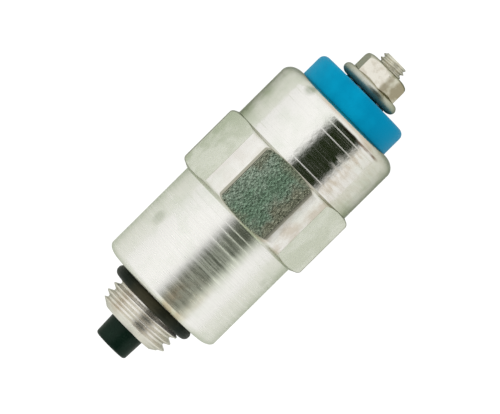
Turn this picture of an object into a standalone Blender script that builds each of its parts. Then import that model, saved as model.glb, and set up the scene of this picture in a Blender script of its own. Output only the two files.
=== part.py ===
"""Fuel shut-off valve of an injection pump, as an assembly of its real pieces.

A steel body turned from hexagon bar carries a threaded nose, with a sprung rubber-tipped plunger in it.
A coil round a guide tube pulls the plunger back against a fixed pole. A blue moulded cap closes the body,
held by the body's rolled rim, and carries the terminal stud with its toothed washer and flange nut.

Metres, +Z up. The valve lies on one flat of its hexagon, its axis along X and its terminal towards +X.
The world origin is on the resting surface, under the middle of the valve's length.
"""

import math

import bmesh
import bpy
from mathutils import Matrix, Vector
from mathutils.geometry import interpolate_bezier

# Clearances between pieces that touch on the real valve
FIT_GAP = 0.00015
STACK_GAP = 0.0001
RUNNING_CLEARANCE = 0.0001
TIP_CLEARANCE = 0.0003

# Lengths that add up along the axis, from the plunger's tip to the end of the stud
TIP_REACH = 0.00427
NOSE_THREAD_LENGTH = 0.00503
UNDERCUT_LENGTH = 0.0020
LOWER_LENGTH = 0.0187
HEXAGON_LENGTH = 0.0129
UPPER_LENGTH = 0.0104
RIM_ROLL = 0.0017
CAP_REACH = 0.0046
WASHER_THICKNESS = 0.0004
NUT_HEIGHT = 0.0053
STUD_PAST_NUT = 0.0017

# Body, turned from hexagon bar: the cylinders lie this far inside the flats
HEXAGON_ACROSS_FLATS = 0.0254
UPPER_INSET = 0.00025
LOWER_INSET = 0.00075
CORNER_STAND = 0.00095
HEXAGON_EDGE = 0.0013
SEAT_EDGE_AXIAL = 0.00135
SEAT_EDGE_RADIAL = 0.0024
BODY_WALL = 0.00145
CAP_STEP = 0.00065
FLOOR_THICKNESS = 0.0033
RIM_LIP = 0.0009
RIM_OVERHANG = 0.0014

# Threaded nose
NOSE_THREAD_DIAMETER = 0.0139
NOSE_PITCH = 0.0015
NOSE_CHAMFER_AXIAL = 0.0010
NOSE_CHAMFER_RADIAL = 0.0015
NOSE_THREAD_START = 328.0
UNDERCUT_DEPTH = 0.00095
NOSE_WALL = 0.0014
NOSE_LIP_THICKNESS = 0.0013
NOSE_LIP_OVERHANG = 0.00088
BODY_RING_SECTION = 0.00175
BODY_RING_PLAY = 0.00035

# Plunger, its rubber tip and its spring
PLUNGER_LENGTH = 0.0210
PLUNGER_STROKE = 0.0025
PLUNGER_EDGE = 0.0004
PLUNGER_WALL = 0.0017
RELIEF_SLOT_RADIUS = 0.0006
TIP_TAPER = 0.00015
TIP_EDGE = 0.0005
TIP_SOCKET_DEPTH = 0.0012
TIP_STEM_DIAMETER = 0.0036
TIP_STEM_LENGTH = 0.0032
SPRING_WIRE = 0.0006
SPRING_TURNS = 9
SPRING_CLEARANCE = 0.0003
SPRING_BORE_IN_PLUNGER = 0.0115
SPRING_BORE_IN_POLE = 0.0020
ANTI_STICK_THICKNESS = 0.0003

# Coil and the iron round it: the tube's bore is this share of the body's, iron inside it and copper outside
CORE_SHARE = 0.45
TUBE_WALL = 0.0004
TUBE_RING_SECTION = 0.0014
HUB_WALL = 0.00085
BOBBIN_FLANGE = 0.0013
WINDING_TURN = 0.0022
TAPE_INSET = 0.0004
TAPE_THICKNESS = 0.00025
PLATE_THICKNESS = 0.0030
POLE_RING_SECTION = 0.0010
POLE_RING_FROM_PLATE = 0.0045
POLE_HEAD_STAND = 0.0008
POLE_HEAD_OVERHANG = 0.0006

# Leads from the coil
WIRE_DIAMETER = 0.0005
SLEEVE_WALL = 0.0003
LEAD_HOLE_CLEARANCE = 0.00025

# Terminal cap and stud
CAP_FLANGE_THICKNESS = 0.0022
CAP_EDGE = 0.0008
CAP_SKIRT_LENGTH = 0.0034
CAP_SKIRT_WALL = 0.0019
CAP_CAVITY_DEPTH = 0.0023
GASKET_THICKNESS = 0.0008
STUD_DIAMETER = 0.0049
STUD_CHAMFER = 0.0004
STUD_HEAD_THICKNESS = 0.0020
STUD_HEAD_OVERHANG = 0.00145
STUD_RING_SECTION = 0.0009

# Toothed washer and flange nut
WASHER_WIDTH = 0.0017
WASHER_RING_SHARE = 0.45
WASHER_TEETH = 12
TOOTH_TWIST = 0.00009
NUT_ACROSS_FLATS = 0.0081
NUT_FLANGE_OVERHANG = 0.0017
NUT_FLANGE_THICKNESS = 0.0016
NUT_FLANGE_EDGE = 0.0009
NUT_TOP_EDGE_AXIAL = 0.0007
NUT_TOP_EDGE_RADIAL = 0.0009
NUT_BORE_CLEARANCE = 0.0001
NUT_REST_ANGLE = 11.0

# Facets round a turn, by how large the piece is
BODY_FACETS = 48
COIL_FACETS = 32
CORE_FACETS = 24
SMALL_FACETS = 20
THREAD_FACETS = 24
RING_FACETS = 8
SEAL_FACETS = 6
MERGE = 0.0000002

# Radii that follow from the sizes above
upper_radius = HEXAGON_ACROSS_FLATS / 2 - UPPER_INSET
lower_radius = HEXAGON_ACROSS_FLATS / 2 - LOWER_INSET
turned_radius = HEXAGON_ACROSS_FLATS / 2 + CORNER_STAND
bore_radius = lower_radius - BODY_WALL
cap_bore_radius = bore_radius + CAP_STEP
rim_radius = cap_bore_radius - RIM_OVERHANG
cap_radius = rim_radius - FIT_GAP
thread_radius = NOSE_THREAD_DIAMETER / 2
thread_depth = 0.6134 * NOSE_PITCH
undercut_radius = thread_radius - UNDERCUT_DEPTH
nose_bore_radius = thread_radius - thread_depth - NOSE_WALL
nose_lip_radius = nose_bore_radius - NOSE_LIP_OVERHANG
tip_radius = nose_lip_radius - TIP_CLEARANCE
stem_radius = TIP_STEM_DIAMETER / 2
tube_bore_radius = bore_radius * CORE_SHARE
plunger_nose_radius = nose_bore_radius - RUNNING_CLEARANCE
plunger_radius = tube_bore_radius - RUNNING_CLEARANCE
spring_bore_radius = plunger_radius - PLUNGER_WALL
spring_radius = spring_bore_radius - SPRING_CLEARANCE
tube_radius = tube_bore_radius + TUBE_WALL
hub_bore_radius = tube_radius + FIT_GAP
hub_radius = hub_bore_radius + HUB_WALL
flange_radius = bore_radius - FIT_GAP
tape_radius = flange_radius - TAPE_INSET
winding_radius = tape_radius - TAPE_THICKNESS - FIT_GAP
ring_recess_radius = tube_radius + TUBE_RING_SECTION + 2 * STACK_GAP
ring_recess_depth = TUBE_RING_SECTION + 2 * STACK_GAP
shoulder_radius = ring_recess_radius + HUB_WALL
shoulder_length = ring_recess_depth + HUB_WALL
collar_radius = tube_radius + FIT_GAP
pole_head_radius = collar_radius + POLE_HEAD_OVERHANG
skirt_inner_radius = flange_radius - CAP_SKIRT_WALL
lead_ring_radius = (pole_head_radius + skirt_inner_radius) / 2
sleeve_inner_radius = WIRE_DIAMETER / 2 + STACK_GAP
sleeve_radius = sleeve_inner_radius + SLEEVE_WALL
lead_hole_radius = sleeve_radius + LEAD_HOLE_CLEARANCE
stud_radius = STUD_DIAMETER / 2
stud_hole_radius = stud_radius + FIT_GAP
stud_head_half_flats = stud_radius + STUD_HEAD_OVERHANG
washer_bore_radius = stud_radius + FIT_GAP
washer_radius = washer_bore_radius + WASHER_WIDTH
nut_flange_radius = NUT_ACROSS_FLATS / 2 + NUT_FLANGE_OVERHANG
nut_corner_radius = NUT_ACROSS_FLATS / math.sqrt(3)
nut_bore_radius = stud_radius + NUT_BORE_CLEARANCE

# Stations along the axis, from the tip to the end of the stud
washer_stack = WASHER_THICKNESS + 2 * STACK_GAP
nose_and_body = NOSE_THREAD_LENGTH + UNDERCUT_LENGTH + LOWER_LENGTH + HEXAGON_LENGTH + UPPER_LENGTH + RIM_ROLL
overall_length = TIP_REACH + nose_and_body + CAP_REACH + washer_stack + NUT_HEIGHT + STUD_PAST_NUT
tip_end = -overall_length / 2
nose_front = tip_end + TIP_REACH
thread_end = nose_front + NOSE_THREAD_LENGTH
seat = thread_end + UNDERCUT_LENGTH
hexagon_start = seat + LOWER_LENGTH
hexagon_end = hexagon_start + HEXAGON_LENGTH
rim_start = hexagon_end + UPPER_LENGTH
rim_end = rim_start + RIM_ROLL
cap_top = rim_end + CAP_REACH
washer_face = cap_top + STACK_GAP
nut_face = washer_face + WASHER_THICKNESS + STACK_GAP
nut_top = nut_face + NUT_HEIGHT
stud_end = nut_top + STUD_PAST_NUT

# Stations inside the body, each piece resting on the one before it or held by the one after
lip_face = nose_front + NOSE_LIP_THICKNESS
floor_face = seat + FLOOR_THICKNESS
plunger_front = lip_face + STACK_GAP
plunger_back = plunger_front + PLUNGER_LENGTH
anti_stick_face = plunger_back + PLUNGER_STROKE + STACK_GAP
pole_face = anti_stick_face + ANTI_STICK_THICKNESS + STACK_GAP
cap_flange_top = rim_end - RIM_LIP - FIT_GAP
cap_flange_face = cap_flange_top - CAP_FLANGE_THICKNESS
cap_step_face = cap_flange_face - FIT_GAP
skirt_face = cap_flange_face - CAP_SKIRT_LENGTH
gasket_face = skirt_face - STACK_GAP - GASKET_THICKNESS
plate_top = gasket_face - STACK_GAP
plate_face = plate_top - PLATE_THICKNESS
bobbin_face = floor_face + FIT_GAP
bobbin_top = plate_face - FIT_GAP
winding_face = bobbin_face + BOBBIN_FLANGE + FIT_GAP
winding_top = bobbin_top - BOBBIN_FLANGE - FIT_GAP
pole_top = plate_top + STACK_GAP + POLE_HEAD_STAND
head_face = skirt_face + CAP_CAVITY_DEPTH
head_top = head_face + STUD_HEAD_THICKNESS
pocket_top = head_top + STACK_GAP
ring_pocket_top = pocket_top + STUD_RING_SECTION + 2 * STACK_GAP
axis_height = HEXAGON_ACROSS_FLATS / 2


def clear_scene():
    for thing in list(bpy.data.objects):
        bpy.data.objects.remove(thing, do_unlink=True)


def finish(name, color, metallic, roughness):
    """A material of one colour, as the part's surface looks from a step away."""
    material = bpy.data.materials.new(name)
    material.use_nodes = True
    shader = material.node_tree.nodes["Principled BSDF"]
    shader.inputs["Base Color"].default_value = (*color, 1.0)
    shader.inputs["Metallic"].default_value = metallic
    shader.inputs["Roughness"].default_value = roughness
    material.diffuse_color = (*color, 1.0)
    return material


def valve_axis():
    """The empty that every piece hangs from: the valve's centre line, lifted to its resting height."""
    axis = bpy.data.objects.new("valve_axis", None)
    axis.location = (0, 0, axis_height)
    bpy.context.collection.objects.link(axis)
    return axis


def place(name, data, material, station, axis):
    """An object whose origin lies on the valve's axis at the given station."""
    piece = bpy.data.objects.new(name, data)
    data.materials.append(material)
    piece.location = (station, 0, 0)
    piece.parent = axis
    bpy.context.collection.objects.link(piece)
    return piece


def mesh_from(bm, name, smooth_below=math.radians(32)):
    bmesh.ops.remove_doubles(bm, verts=bm.verts, dist=MERGE)
    bmesh.ops.recalc_face_normals(bm, faces=bm.faces)
    mesh = bpy.data.meshes.new(name)
    bm.to_mesh(mesh)
    bm.free()
    mesh.shade_smooth()
    mesh.set_sharp_from_angle(angle=smooth_below)
    return mesh


def turned(name, profile, facets):
    """A turned mesh: (x, radius) points carried once round the X axis.

    A profile that stays off the axis is closed into a ring; one that starts and ends on it is solid.
    """
    bm = bmesh.new()
    points = [bm.verts.new((x, 0, radius)) for x, radius in profile]
    hollow = min(radius for _, radius in profile) > MERGE
    following = points[1:] + points[:1] if hollow else points[1:]
    edges = [bm.edges.new(pair) for pair in zip(points, following)]
    bmesh.ops.spin(
        bm,
        geom=points + edges,
        cent=(0, 0, 0),
        axis=(1, 0, 0),
        angle=math.tau,
        steps=facets,
        use_merge=True,
    )
    return mesh_from(bm, name)


def round_stretch(center, axial, radial, first, last, steps):
    """Points of an elliptical corner in a profile, angles in degrees from +X towards +radius."""
    points = []
    for step in range(steps + 1):
        angle = math.radians(first + (last - first) * step / steps)
        points.append((center[0] + axial * math.cos(angle), center[1] + radial * math.sin(angle)))
    return points


def sleeve_profile(length, inner, outer):
    return [(0, inner), (0, outer), (length, outer), (length, inner)]


def ring(name, section, inner, facets, round_facets=SEAL_FACETS):
    """An O-ring lying round the axis, its middle plane at x = 0."""
    radius = section / 2
    profile = round_stretch((0, inner + radius), radius, radius, 360, 0, round_facets)
    return turned(name, profile[:-1], facets)


def hexagon_bar(name, half_flats, start, end, turn=0.0):
    """A hexagonal bar along X, with flats facing up and down before it is turned by an angle."""
    bm = bmesh.new()
    radius = half_flats / math.cos(math.pi / 6)
    bmesh.ops.create_cone(
        bm, cap_ends=True, segments=6, radius1=radius, radius2=radius, depth=end - start
    )
    lay_down = Matrix.Rotation(math.pi / 2, 4, "Y")
    rolled = Matrix.Rotation(turn, 4, "X")
    shift = Matrix.Translation(((start + end) / 2, 0, 0))
    bmesh.ops.transform(bm, matrix=shift @ rolled @ lay_down, verts=bm.verts)
    return mesh_from(bm, name)


def round_bar(name, radius, start, end, facets, off_axis=0.0):
    """A round bar along X, whose middle line may stand above the axis."""
    bm = bmesh.new()
    bmesh.ops.create_cone(
        bm, cap_ends=True, segments=facets, radius1=radius, radius2=radius, depth=end - start
    )
    lay_down = Matrix.Rotation(math.pi / 2, 4, "Y")
    shift = Matrix.Translation(((start + end) / 2, 0, off_axis))
    bmesh.ops.transform(bm, matrix=shift @ lay_down, verts=bm.verts)
    return mesh_from(bm, name)


def thread_groove(name, crest_radius, pitch, depth, start, end, first_angle):
    """The V-shaped helix that a die leaves, right-handed, from x = start to x = end."""
    above = 0.1 * depth
    crest_half = 7 / 16 * pitch
    root_half = 1 / 8 * pitch
    above_half = crest_half + (crest_half - root_half) * above / depth
    section = (
        (-root_half, crest_radius - depth),
        (root_half, crest_radius - depth),
        (above_half, crest_radius + above),
        (-above_half, crest_radius + above),
    )
    bm = bmesh.new()
    rings = []
    steps = math.ceil((end - start) / pitch * THREAD_FACETS)
    for step in range(steps + 1):
        angle = first_angle + math.tau * step / THREAD_FACETS
        along = start + pitch * step / THREAD_FACETS
        corners = [
            bm.verts.new((along + shift, radius * math.cos(angle), radius * math.sin(angle)))
            for shift, radius in section
        ]
        rings.append(corners)
    for near, far in zip(rings, rings[1:]):
        for side in range(4):
            following = (side + 1) % 4
            bm.faces.new((near[side], near[following], far[following], far[side]))
    bm.faces.new(rings[0])
    bm.faces.new(rings[-1])
    return mesh_from(bm, name)


def combine(piece, operation, tool):
    """Joins, cuts or keeps the common part of a piece and a helper shape, which isn't a part itself."""
    modifier = piece.modifiers.new(tool.name, "BOOLEAN")
    modifier.operation = operation
    modifier.solver = "EXACT"
    modifier.object = tool
    tool.hide_render = True
    tool.display_type = "WIRE"


def valve_body(axis):
    """Turned from hexagon bar in one piece: nose, seat, hexagon, and the rim rolled over the cap."""
    zinc = finish("zinc_plated_steel", (0.74, 0.73, 0.69), 1.0, 0.28)
    front = nose_front - seat
    run_out = thread_end - seat
    hexagon = hexagon_start - seat
    hexagon_far = hexagon_end - seat
    rim = rim_start - seat
    profile = [
        (front, nose_lip_radius),
        (front, thread_radius - NOSE_CHAMFER_RADIAL),
        (front + NOSE_CHAMFER_AXIAL, thread_radius),
        (run_out, thread_radius),
        (run_out, undercut_radius),
        (0, undercut_radius),
    ]
    seat_corner = (SEAT_EDGE_AXIAL, lower_radius - SEAT_EDGE_RADIAL)
    profile += round_stretch(seat_corner, SEAT_EDGE_AXIAL, SEAT_EDGE_RADIAL, 180, 90, 4)
    near_corner = (hexagon + HEXAGON_EDGE, lower_radius)
    profile += round_stretch(near_corner, HEXAGON_EDGE, turned_radius - lower_radius, 180, 90, 4)
    far_corner = (hexagon_far - HEXAGON_EDGE, upper_radius)
    profile += round_stretch(far_corner, HEXAGON_EDGE, turned_radius - upper_radius, 90, 0, 4)
    profile += round_stretch((rim, rim_radius), RIM_ROLL, upper_radius - rim_radius, 90, 0, 5)
    profile += [
        (rim_end - RIM_LIP - seat, rim_radius),
        (rim_end - RIM_LIP - seat, cap_bore_radius),
        (cap_step_face - seat, cap_bore_radius),
        (cap_step_face - seat, bore_radius),
        (FLOOR_THICKNESS, bore_radius),
        (FLOOR_THICKNESS, nose_bore_radius),
        (lip_face - seat, nose_bore_radius),
        (lip_face - seat, nose_lip_radius),
    ]
    body = place("valve_body", turned("valve_body", profile, BODY_FACETS), zinc, seat, axis)

    bar = hexagon_bar("bar_stock", HEXAGON_ACROSS_FLATS / 2, front - RIM_ROLL, rim + 2 * RIM_ROLL)
    combine(body, "INTERSECT", place("bar_stock", bar, zinc, seat, axis))
    groove = thread_groove(
        "nose_thread",
        thread_radius,
        NOSE_PITCH,
        thread_depth,
        front - NOSE_PITCH,
        run_out + NOSE_PITCH / 2,
        math.radians(NOSE_THREAD_START),
    )
    combine(body, "DIFFERENCE", place("nose_thread", groove, zinc, seat, axis))
    return body


def body_o_ring(axis):
    rubber = finish("black_rubber", (0.025, 0.022, 0.020), 0.0, 0.45)
    inner = undercut_radius + BODY_RING_PLAY
    shape = ring("body_o_ring", BODY_RING_SECTION, inner, COIL_FACETS, RING_FACETS)
    middle = seat - STACK_GAP - BODY_RING_SECTION / 2
    return place("body_o_ring", shape, rubber, middle, axis)


def plunger(axis):
    """The armature, guided by the nose in front and the tube behind, with two fuel relief slots.

    In front is a socket for the tip, behind is the spring's bore. Between the guided stretches is a
    neck that clears both the nose and the tube over the whole stroke.
    """
    iron = finish("plunger_iron", (0.50, 0.50, 0.49), 1.0, 0.35)
    stem_hole = TIP_SOCKET_DEPTH + TIP_STEM_LENGTH + STACK_GAP
    spring_floor = PLUNGER_LENGTH - SPRING_BORE_IN_PLUNGER
    neck_radius = min(plunger_nose_radius, plunger_radius)
    neck_start = floor_face - PLUNGER_STROKE - FIT_GAP - plunger_front
    neck_end = floor_face + FIT_GAP - plunger_front
    profile = [
        (stem_hole, 0),
        (stem_hole, stem_radius + STACK_GAP),
        (TIP_SOCKET_DEPTH, stem_radius + STACK_GAP),
        (TIP_SOCKET_DEPTH, tip_radius + STACK_GAP),
        (0, tip_radius + STACK_GAP),
        (0, plunger_nose_radius - PLUNGER_EDGE),
        (PLUNGER_EDGE, plunger_nose_radius),
        (neck_start, plunger_nose_radius),
        (neck_start, neck_radius),
        (neck_end, neck_radius),
        (neck_end, plunger_radius),
        (PLUNGER_LENGTH - PLUNGER_EDGE, plunger_radius),
        (PLUNGER_LENGTH, plunger_radius - PLUNGER_EDGE),
        (PLUNGER_LENGTH, spring_bore_radius),
        (spring_floor, spring_bore_radius),
        (spring_floor, 0),
    ]
    shape = turned("plunger", profile, CORE_FACETS)
    armature = place("plunger", shape, iron, plunger_front, axis)
    for side, name in ((1, "relief_slot_upper"), (-1, "relief_slot_lower")):
        slot = round_bar(
            name, RELIEF_SLOT_RADIUS, -PLUNGER_EDGE, PLUNGER_LENGTH + PLUNGER_EDGE, 10, side * plunger_radius
        )
        combine(armature, "DIFFERENCE", place(name, slot, iron, plunger_front, axis))
    return armature


def plunger_tip(axis):
    """The rubber plug that shuts the fuel port, held by a stem moulded into the plunger."""
    rubber = finish("tip_rubber", (0.012, 0.030, 0.028), 0.0, 0.4)
    base = plunger_front + TIP_SOCKET_DEPTH - STACK_GAP - tip_end
    end_radius = tip_radius - TIP_TAPER
    profile = [(0, 0)]
    profile += round_stretch((TIP_EDGE, end_radius - TIP_EDGE), TIP_EDGE, TIP_EDGE, 180, 90, 4)
    profile += [
        (TIP_REACH, tip_radius),
        (base, tip_radius),
        (base, stem_radius),
        (base + TIP_STEM_LENGTH, stem_radius),
        (base + TIP_STEM_LENGTH, 0),
    ]
    shape = turned("plunger_tip", profile, CORE_FACETS)
    return place("plunger_tip", shape, rubber, tip_end, axis)


def return_spring(axis):
    """A compression spring with closed ends, from the plunger's bore to the pole's."""
    steel = finish("spring_steel", (0.45, 0.44, 0.42), 1.0, 0.3)
    start = plunger_back - SPRING_BORE_IN_PLUNGER + STACK_GAP
    end = pole_face + SPRING_BORE_IN_POLE - STACK_GAP
    coil_radius = spring_radius - SPRING_WIRE / 2
    closed_turn = SPRING_WIRE * 1.15
    open_length = end - start - SPRING_WIRE - 2 * closed_turn
    open_turns = SPRING_TURNS - 2
    points_per_turn = 10
    path = []
    for step in range(SPRING_TURNS * points_per_turn + 1):
        turn = step / points_per_turn
        opened = min(max(turn - 1, 0), open_turns)
        closed = turn - opened
        along = SPRING_WIRE / 2 + closed * closed_turn + opened * open_length / open_turns
        angle = math.tau * turn
        path.append((along, coil_radius * math.cos(angle), coil_radius * math.sin(angle)))
    return place("return_spring", wire("return_spring", path, SPRING_WIRE, 1), steel, start, axis)


def wire(name, path, diameter, resolution):
    """A round wire along a list of points, closed at both ends."""
    curve = bpy.data.curves.new(name, "CURVE")
    curve.dimensions = "3D"
    curve.bevel_depth = diameter / 2
    curve.bevel_resolution = resolution
    curve.use_fill_caps = True
    spline = curve.splines.new("POLY")
    spline.points.add(len(path) - 1)
    for point, corner in zip(spline.points, path):
        point.co = (*corner, 1)
    return curve


def anti_stick_washer(axis):
    """A brass disc on the pole, which keeps the plunger from sticking when the current stops."""
    brass = finish("brass", (0.78, 0.58, 0.28), 1.0, 0.3)
    profile = sleeve_profile(ANTI_STICK_THICKNESS, spring_bore_radius, plunger_radius - PLUNGER_EDGE)
    shape = turned("anti_stick_washer", profile, CORE_FACETS)
    return place("anti_stick_washer", shape, brass, anti_stick_face, axis)


def guide_tube(axis):
    brass = finish("guide_tube_brass", (0.76, 0.57, 0.30), 1.0, 0.3)
    profile = sleeve_profile(bobbin_top - bobbin_face, tube_bore_radius, tube_radius)
    return place("guide_tube", turned("guide_tube", profile, CORE_FACETS), brass, bobbin_face, axis)


def guide_tube_o_ring(axis):
    rubber = finish("seal_rubber", (0.02, 0.02, 0.02), 0.0, 0.5)
    shape = ring("guide_tube_o_ring", TUBE_RING_SECTION, tube_radius + STACK_GAP, CORE_FACETS)
    middle = floor_face + STACK_GAP + TUBE_RING_SECTION / 2
    return place("guide_tube_o_ring", shape, rubber, middle, axis)


def coil_bobbin(axis):
    """A moulded reel, recessed below for the guide tube's O-ring and drilled above for the leads."""
    nylon = finish("bobbin_nylon", (0.74, 0.70, 0.58), 0.0, 0.5)
    length = bobbin_top - bobbin_face
    profile = [
        (0, ring_recess_radius),
        (0, flange_radius),
        (BOBBIN_FLANGE, flange_radius),
        (BOBBIN_FLANGE, shoulder_radius),
        (shoulder_length, shoulder_radius),
        (shoulder_length + HUB_WALL, hub_radius),
        (length - BOBBIN_FLANGE, hub_radius),
        (length - BOBBIN_FLANGE, flange_radius),
        (length, flange_radius),
        (length, hub_bore_radius),
        (ring_recess_depth, hub_bore_radius),
        (ring_recess_depth, ring_recess_radius),
    ]
    bobbin = place("coil_bobbin", turned("coil_bobbin", profile, COIL_FACETS), nylon, bobbin_face, axis)
    for tool in lead_holes("bobbin", length - 2 * BOBBIN_FLANGE, length + BOBBIN_FLANGE, bobbin_face, axis):
        combine(bobbin, "DIFFERENCE", tool)
    return bobbin


def lead_holes(owner, start, end, station, axis):
    """The drills for the two leads, one above the axis and one below."""
    steel = finish(f"{owner}_drill", (0.4, 0.4, 0.4), 1.0, 0.4)
    tools = []
    for side, name in ((1, f"{owner}_live_hole"), (-1, f"{owner}_earth_hole")):
        drill = round_bar(name, lead_hole_radius, start, end, 12, side * lead_ring_radius)
        tools.append(place(name, drill, steel, station, axis))
    return tools


def coil_winding(axis):
    """Enamelled copper wire, its outer layer in even turns, its foot stepped over the reel's shoulder."""
    copper = finish("enamelled_copper", (0.52, 0.20, 0.07), 1.0, 0.35)
    length = winding_top - winding_face
    shoulder = shoulder_length - (winding_face - bobbin_face) + FIT_GAP
    turns = round(length / WINDING_TURN)
    pitch = length / turns
    crest = pitch / 5
    profile = [(0, shoulder_radius + FIT_GAP), (0, winding_radius - crest)]
    for turn in range(turns):
        profile.append((pitch * (turn + 0.5), winding_radius))
        profile.append((pitch * (turn + 1), winding_radius - crest))
    profile += [
        (length, hub_radius + FIT_GAP),
        (shoulder + HUB_WALL, hub_radius + FIT_GAP),
        (shoulder, shoulder_radius + FIT_GAP),
    ]
    shape = turned("coil_winding", profile, SMALL_FACETS)
    return place("coil_winding", shape, copper, winding_face, axis)


def winding_tape(axis):
    tape = finish("coil_tape", (0.72, 0.55, 0.12), 0.0, 0.45)
    profile = sleeve_profile(winding_top - winding_face, tape_radius - TAPE_THICKNESS, tape_radius)
    return place("winding_tape", turned("winding_tape", profile, COIL_FACETS), tape, winding_face, axis)


def fixed_pole(axis):
    """The iron core that the plunger is pulled to, its upper end riveted over the flux plate."""
    iron = finish("pole_iron", (0.46, 0.46, 0.45), 1.0, 0.4)
    rod_radius = tube_bore_radius - RUNNING_CLEARANCE
    rod_length = bobbin_top + FIT_GAP - pole_face
    groove_middle = rod_length - POLE_RING_FROM_PLATE
    groove_half = POLE_RING_SECTION / 2 + STACK_GAP
    groove_radius = tube_bore_radius - POLE_RING_SECTION - 2 * STACK_GAP
    top = pole_top - pole_face
    under_head = plate_top + STACK_GAP - pole_face
    profile = [
        (SPRING_BORE_IN_POLE, 0),
        (SPRING_BORE_IN_POLE, spring_bore_radius),
        (0, spring_bore_radius),
        (0, rod_radius - PLUNGER_EDGE),
        (PLUNGER_EDGE, rod_radius),
        (groove_middle - groove_half, rod_radius),
        (groove_middle - groove_half, groove_radius),
        (groove_middle + groove_half, groove_radius),
        (groove_middle + groove_half, rod_radius),
        (rod_length, rod_radius),
        (rod_length, collar_radius - FIT_GAP),
        (under_head, collar_radius - FIT_GAP),
        (under_head, pole_head_radius),
    ]
    head_corner = (under_head, pole_head_radius - POLE_HEAD_STAND)
    profile += round_stretch(head_corner, top - under_head, POLE_HEAD_STAND, 60, 0, 3)
    profile.append((top, 0))
    return place("fixed_pole", turned("fixed_pole", profile, CORE_FACETS), iron, pole_face, axis)


def pole_o_ring(axis):
    rubber = finish("pole_seal_rubber", (0.02, 0.02, 0.02), 0.0, 0.5)
    inner = tube_bore_radius - POLE_RING_SECTION - STACK_GAP
    shape = ring("pole_o_ring", POLE_RING_SECTION, inner, CORE_FACETS)
    middle = bobbin_top + FIT_GAP - POLE_RING_FROM_PLATE
    return place("pole_o_ring", shape, rubber, middle, axis)


def flux_plate(axis):
    """The iron plate that carries the field from the body's wall to the pole."""
    iron = finish("plate_iron", (0.48, 0.48, 0.46), 1.0, 0.4)
    profile = sleeve_profile(PLATE_THICKNESS, collar_radius, flange_radius)
    plate = place("flux_plate", turned("flux_plate", profile, COIL_FACETS), iron, plate_face, axis)
    for tool in lead_holes("plate", -BOBBIN_FLANGE, PLATE_THICKNESS + BOBBIN_FLANGE, plate_face, axis):
        combine(plate, "DIFFERENCE", tool)
    return plate


def lead_wire(axis):
    """The live lead: from the coil, up through the plate, and over to the stud's head."""
    copper = finish("lead_copper", (0.70, 0.36, 0.16), 1.0, 0.3)
    start = Vector((winding_top + STACK_GAP, 0, lead_ring_radius))
    bend = Vector((plate_top + STACK_GAP, 0, lead_ring_radius))
    end = Vector((head_face - STACK_GAP, 0, stud_radius / 2))
    rise = Vector((end.x - bend.x, 0, 0))
    path = [start] + interpolate_bezier(bend, bend + rise, end - rise / 2, end, 10)
    return place("lead_wire", wire("lead_wire", path, WIRE_DIAMETER, 1), copper, 0, axis)


def lead_sleeve(axis):
    """The insulating sleeve that keeps the live lead off the iron plate."""
    sleeve = finish("sleeve_plastic", (0.60, 0.10, 0.08), 0.0, 0.5)
    length = plate_top - winding_top - STACK_GAP
    shape = turned(
        "lead_sleeve", sleeve_profile(length, sleeve_inner_radius, sleeve_radius), SMALL_FACETS // 2
    )
    piece = place("lead_sleeve", shape, sleeve, winding_top + STACK_GAP, axis)
    piece.location.z = lead_ring_radius
    return piece


def earth_wire(axis):
    """The earth lead: through the plate and a little way round, soldered down on it."""
    copper = finish("earth_copper", (0.68, 0.35, 0.16), 1.0, 0.3)
    start = Vector((winding_top + STACK_GAP, 0, -lead_ring_radius))
    bend = Vector((plate_top - lead_hole_radius, 0, -lead_ring_radius))
    lying = plate_top + STACK_GAP + WIRE_DIAMETER / 2
    around = math.radians(-50)
    end = Vector((lying, lead_ring_radius * math.cos(around), lead_ring_radius * math.sin(around)))
    rise = Vector((3 * lead_hole_radius, 0, 0))
    along = Vector((0, -lead_ring_radius / 3, -lead_ring_radius / 4))
    path = [start] + interpolate_bezier(bend, bend + rise, end + along, end, 10)
    return place("earth_wire", wire("earth_wire", path, WIRE_DIAMETER, 1), copper, 0, axis)


def terminal_cap(axis):
    """The blue moulding: a flange under the rolled rim, a skirt below, and a pocket for the stud's head."""
    blue = finish("blue_nylon", (0.012, 0.30, 0.58), 0.0, 0.38)
    top = cap_top - cap_flange_face
    cavity = head_face - cap_flange_face
    ring_top = ring_pocket_top - cap_flange_face
    ring_radius = stud_radius + STUD_RING_SECTION + 2 * STACK_GAP
    profile = [(top, stud_hole_radius)]
    profile += round_stretch((top - CAP_EDGE, cap_radius - CAP_EDGE), CAP_EDGE, CAP_EDGE, 0, 90, 5)
    profile += [
        (CAP_FLANGE_THICKNESS, cap_radius),
        (CAP_FLANGE_THICKNESS, cap_bore_radius - FIT_GAP),
        (0, cap_bore_radius - FIT_GAP),
        (0, flange_radius),
        (-CAP_SKIRT_LENGTH, flange_radius),
        (-CAP_SKIRT_LENGTH, skirt_inner_radius),
        (cavity, skirt_inner_radius),
        (cavity, ring_radius),
        (ring_top, ring_radius),
        (ring_top, stud_hole_radius),
    ]
    cap = place("terminal_cap", turned("terminal_cap", profile, BODY_FACETS), blue, cap_flange_face, axis)
    pocket_end = pocket_top - cap_flange_face
    pocket = hexagon_bar(
        "head_pocket", stud_head_half_flats + STACK_GAP, cavity - CAP_CAVITY_DEPTH / 2, pocket_end
    )
    combine(cap, "DIFFERENCE", place("head_pocket", pocket, blue, cap_flange_face, axis))
    return cap


def cap_gasket(axis):
    rubber = finish("gasket_rubber", (0.03, 0.03, 0.03), 0.0, 0.6)
    profile = sleeve_profile(GASKET_THICKNESS, skirt_inner_radius, flange_radius)
    return place("cap_gasket", turned("cap_gasket", profile, COIL_FACETS), rubber, gasket_face, axis)


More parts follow.
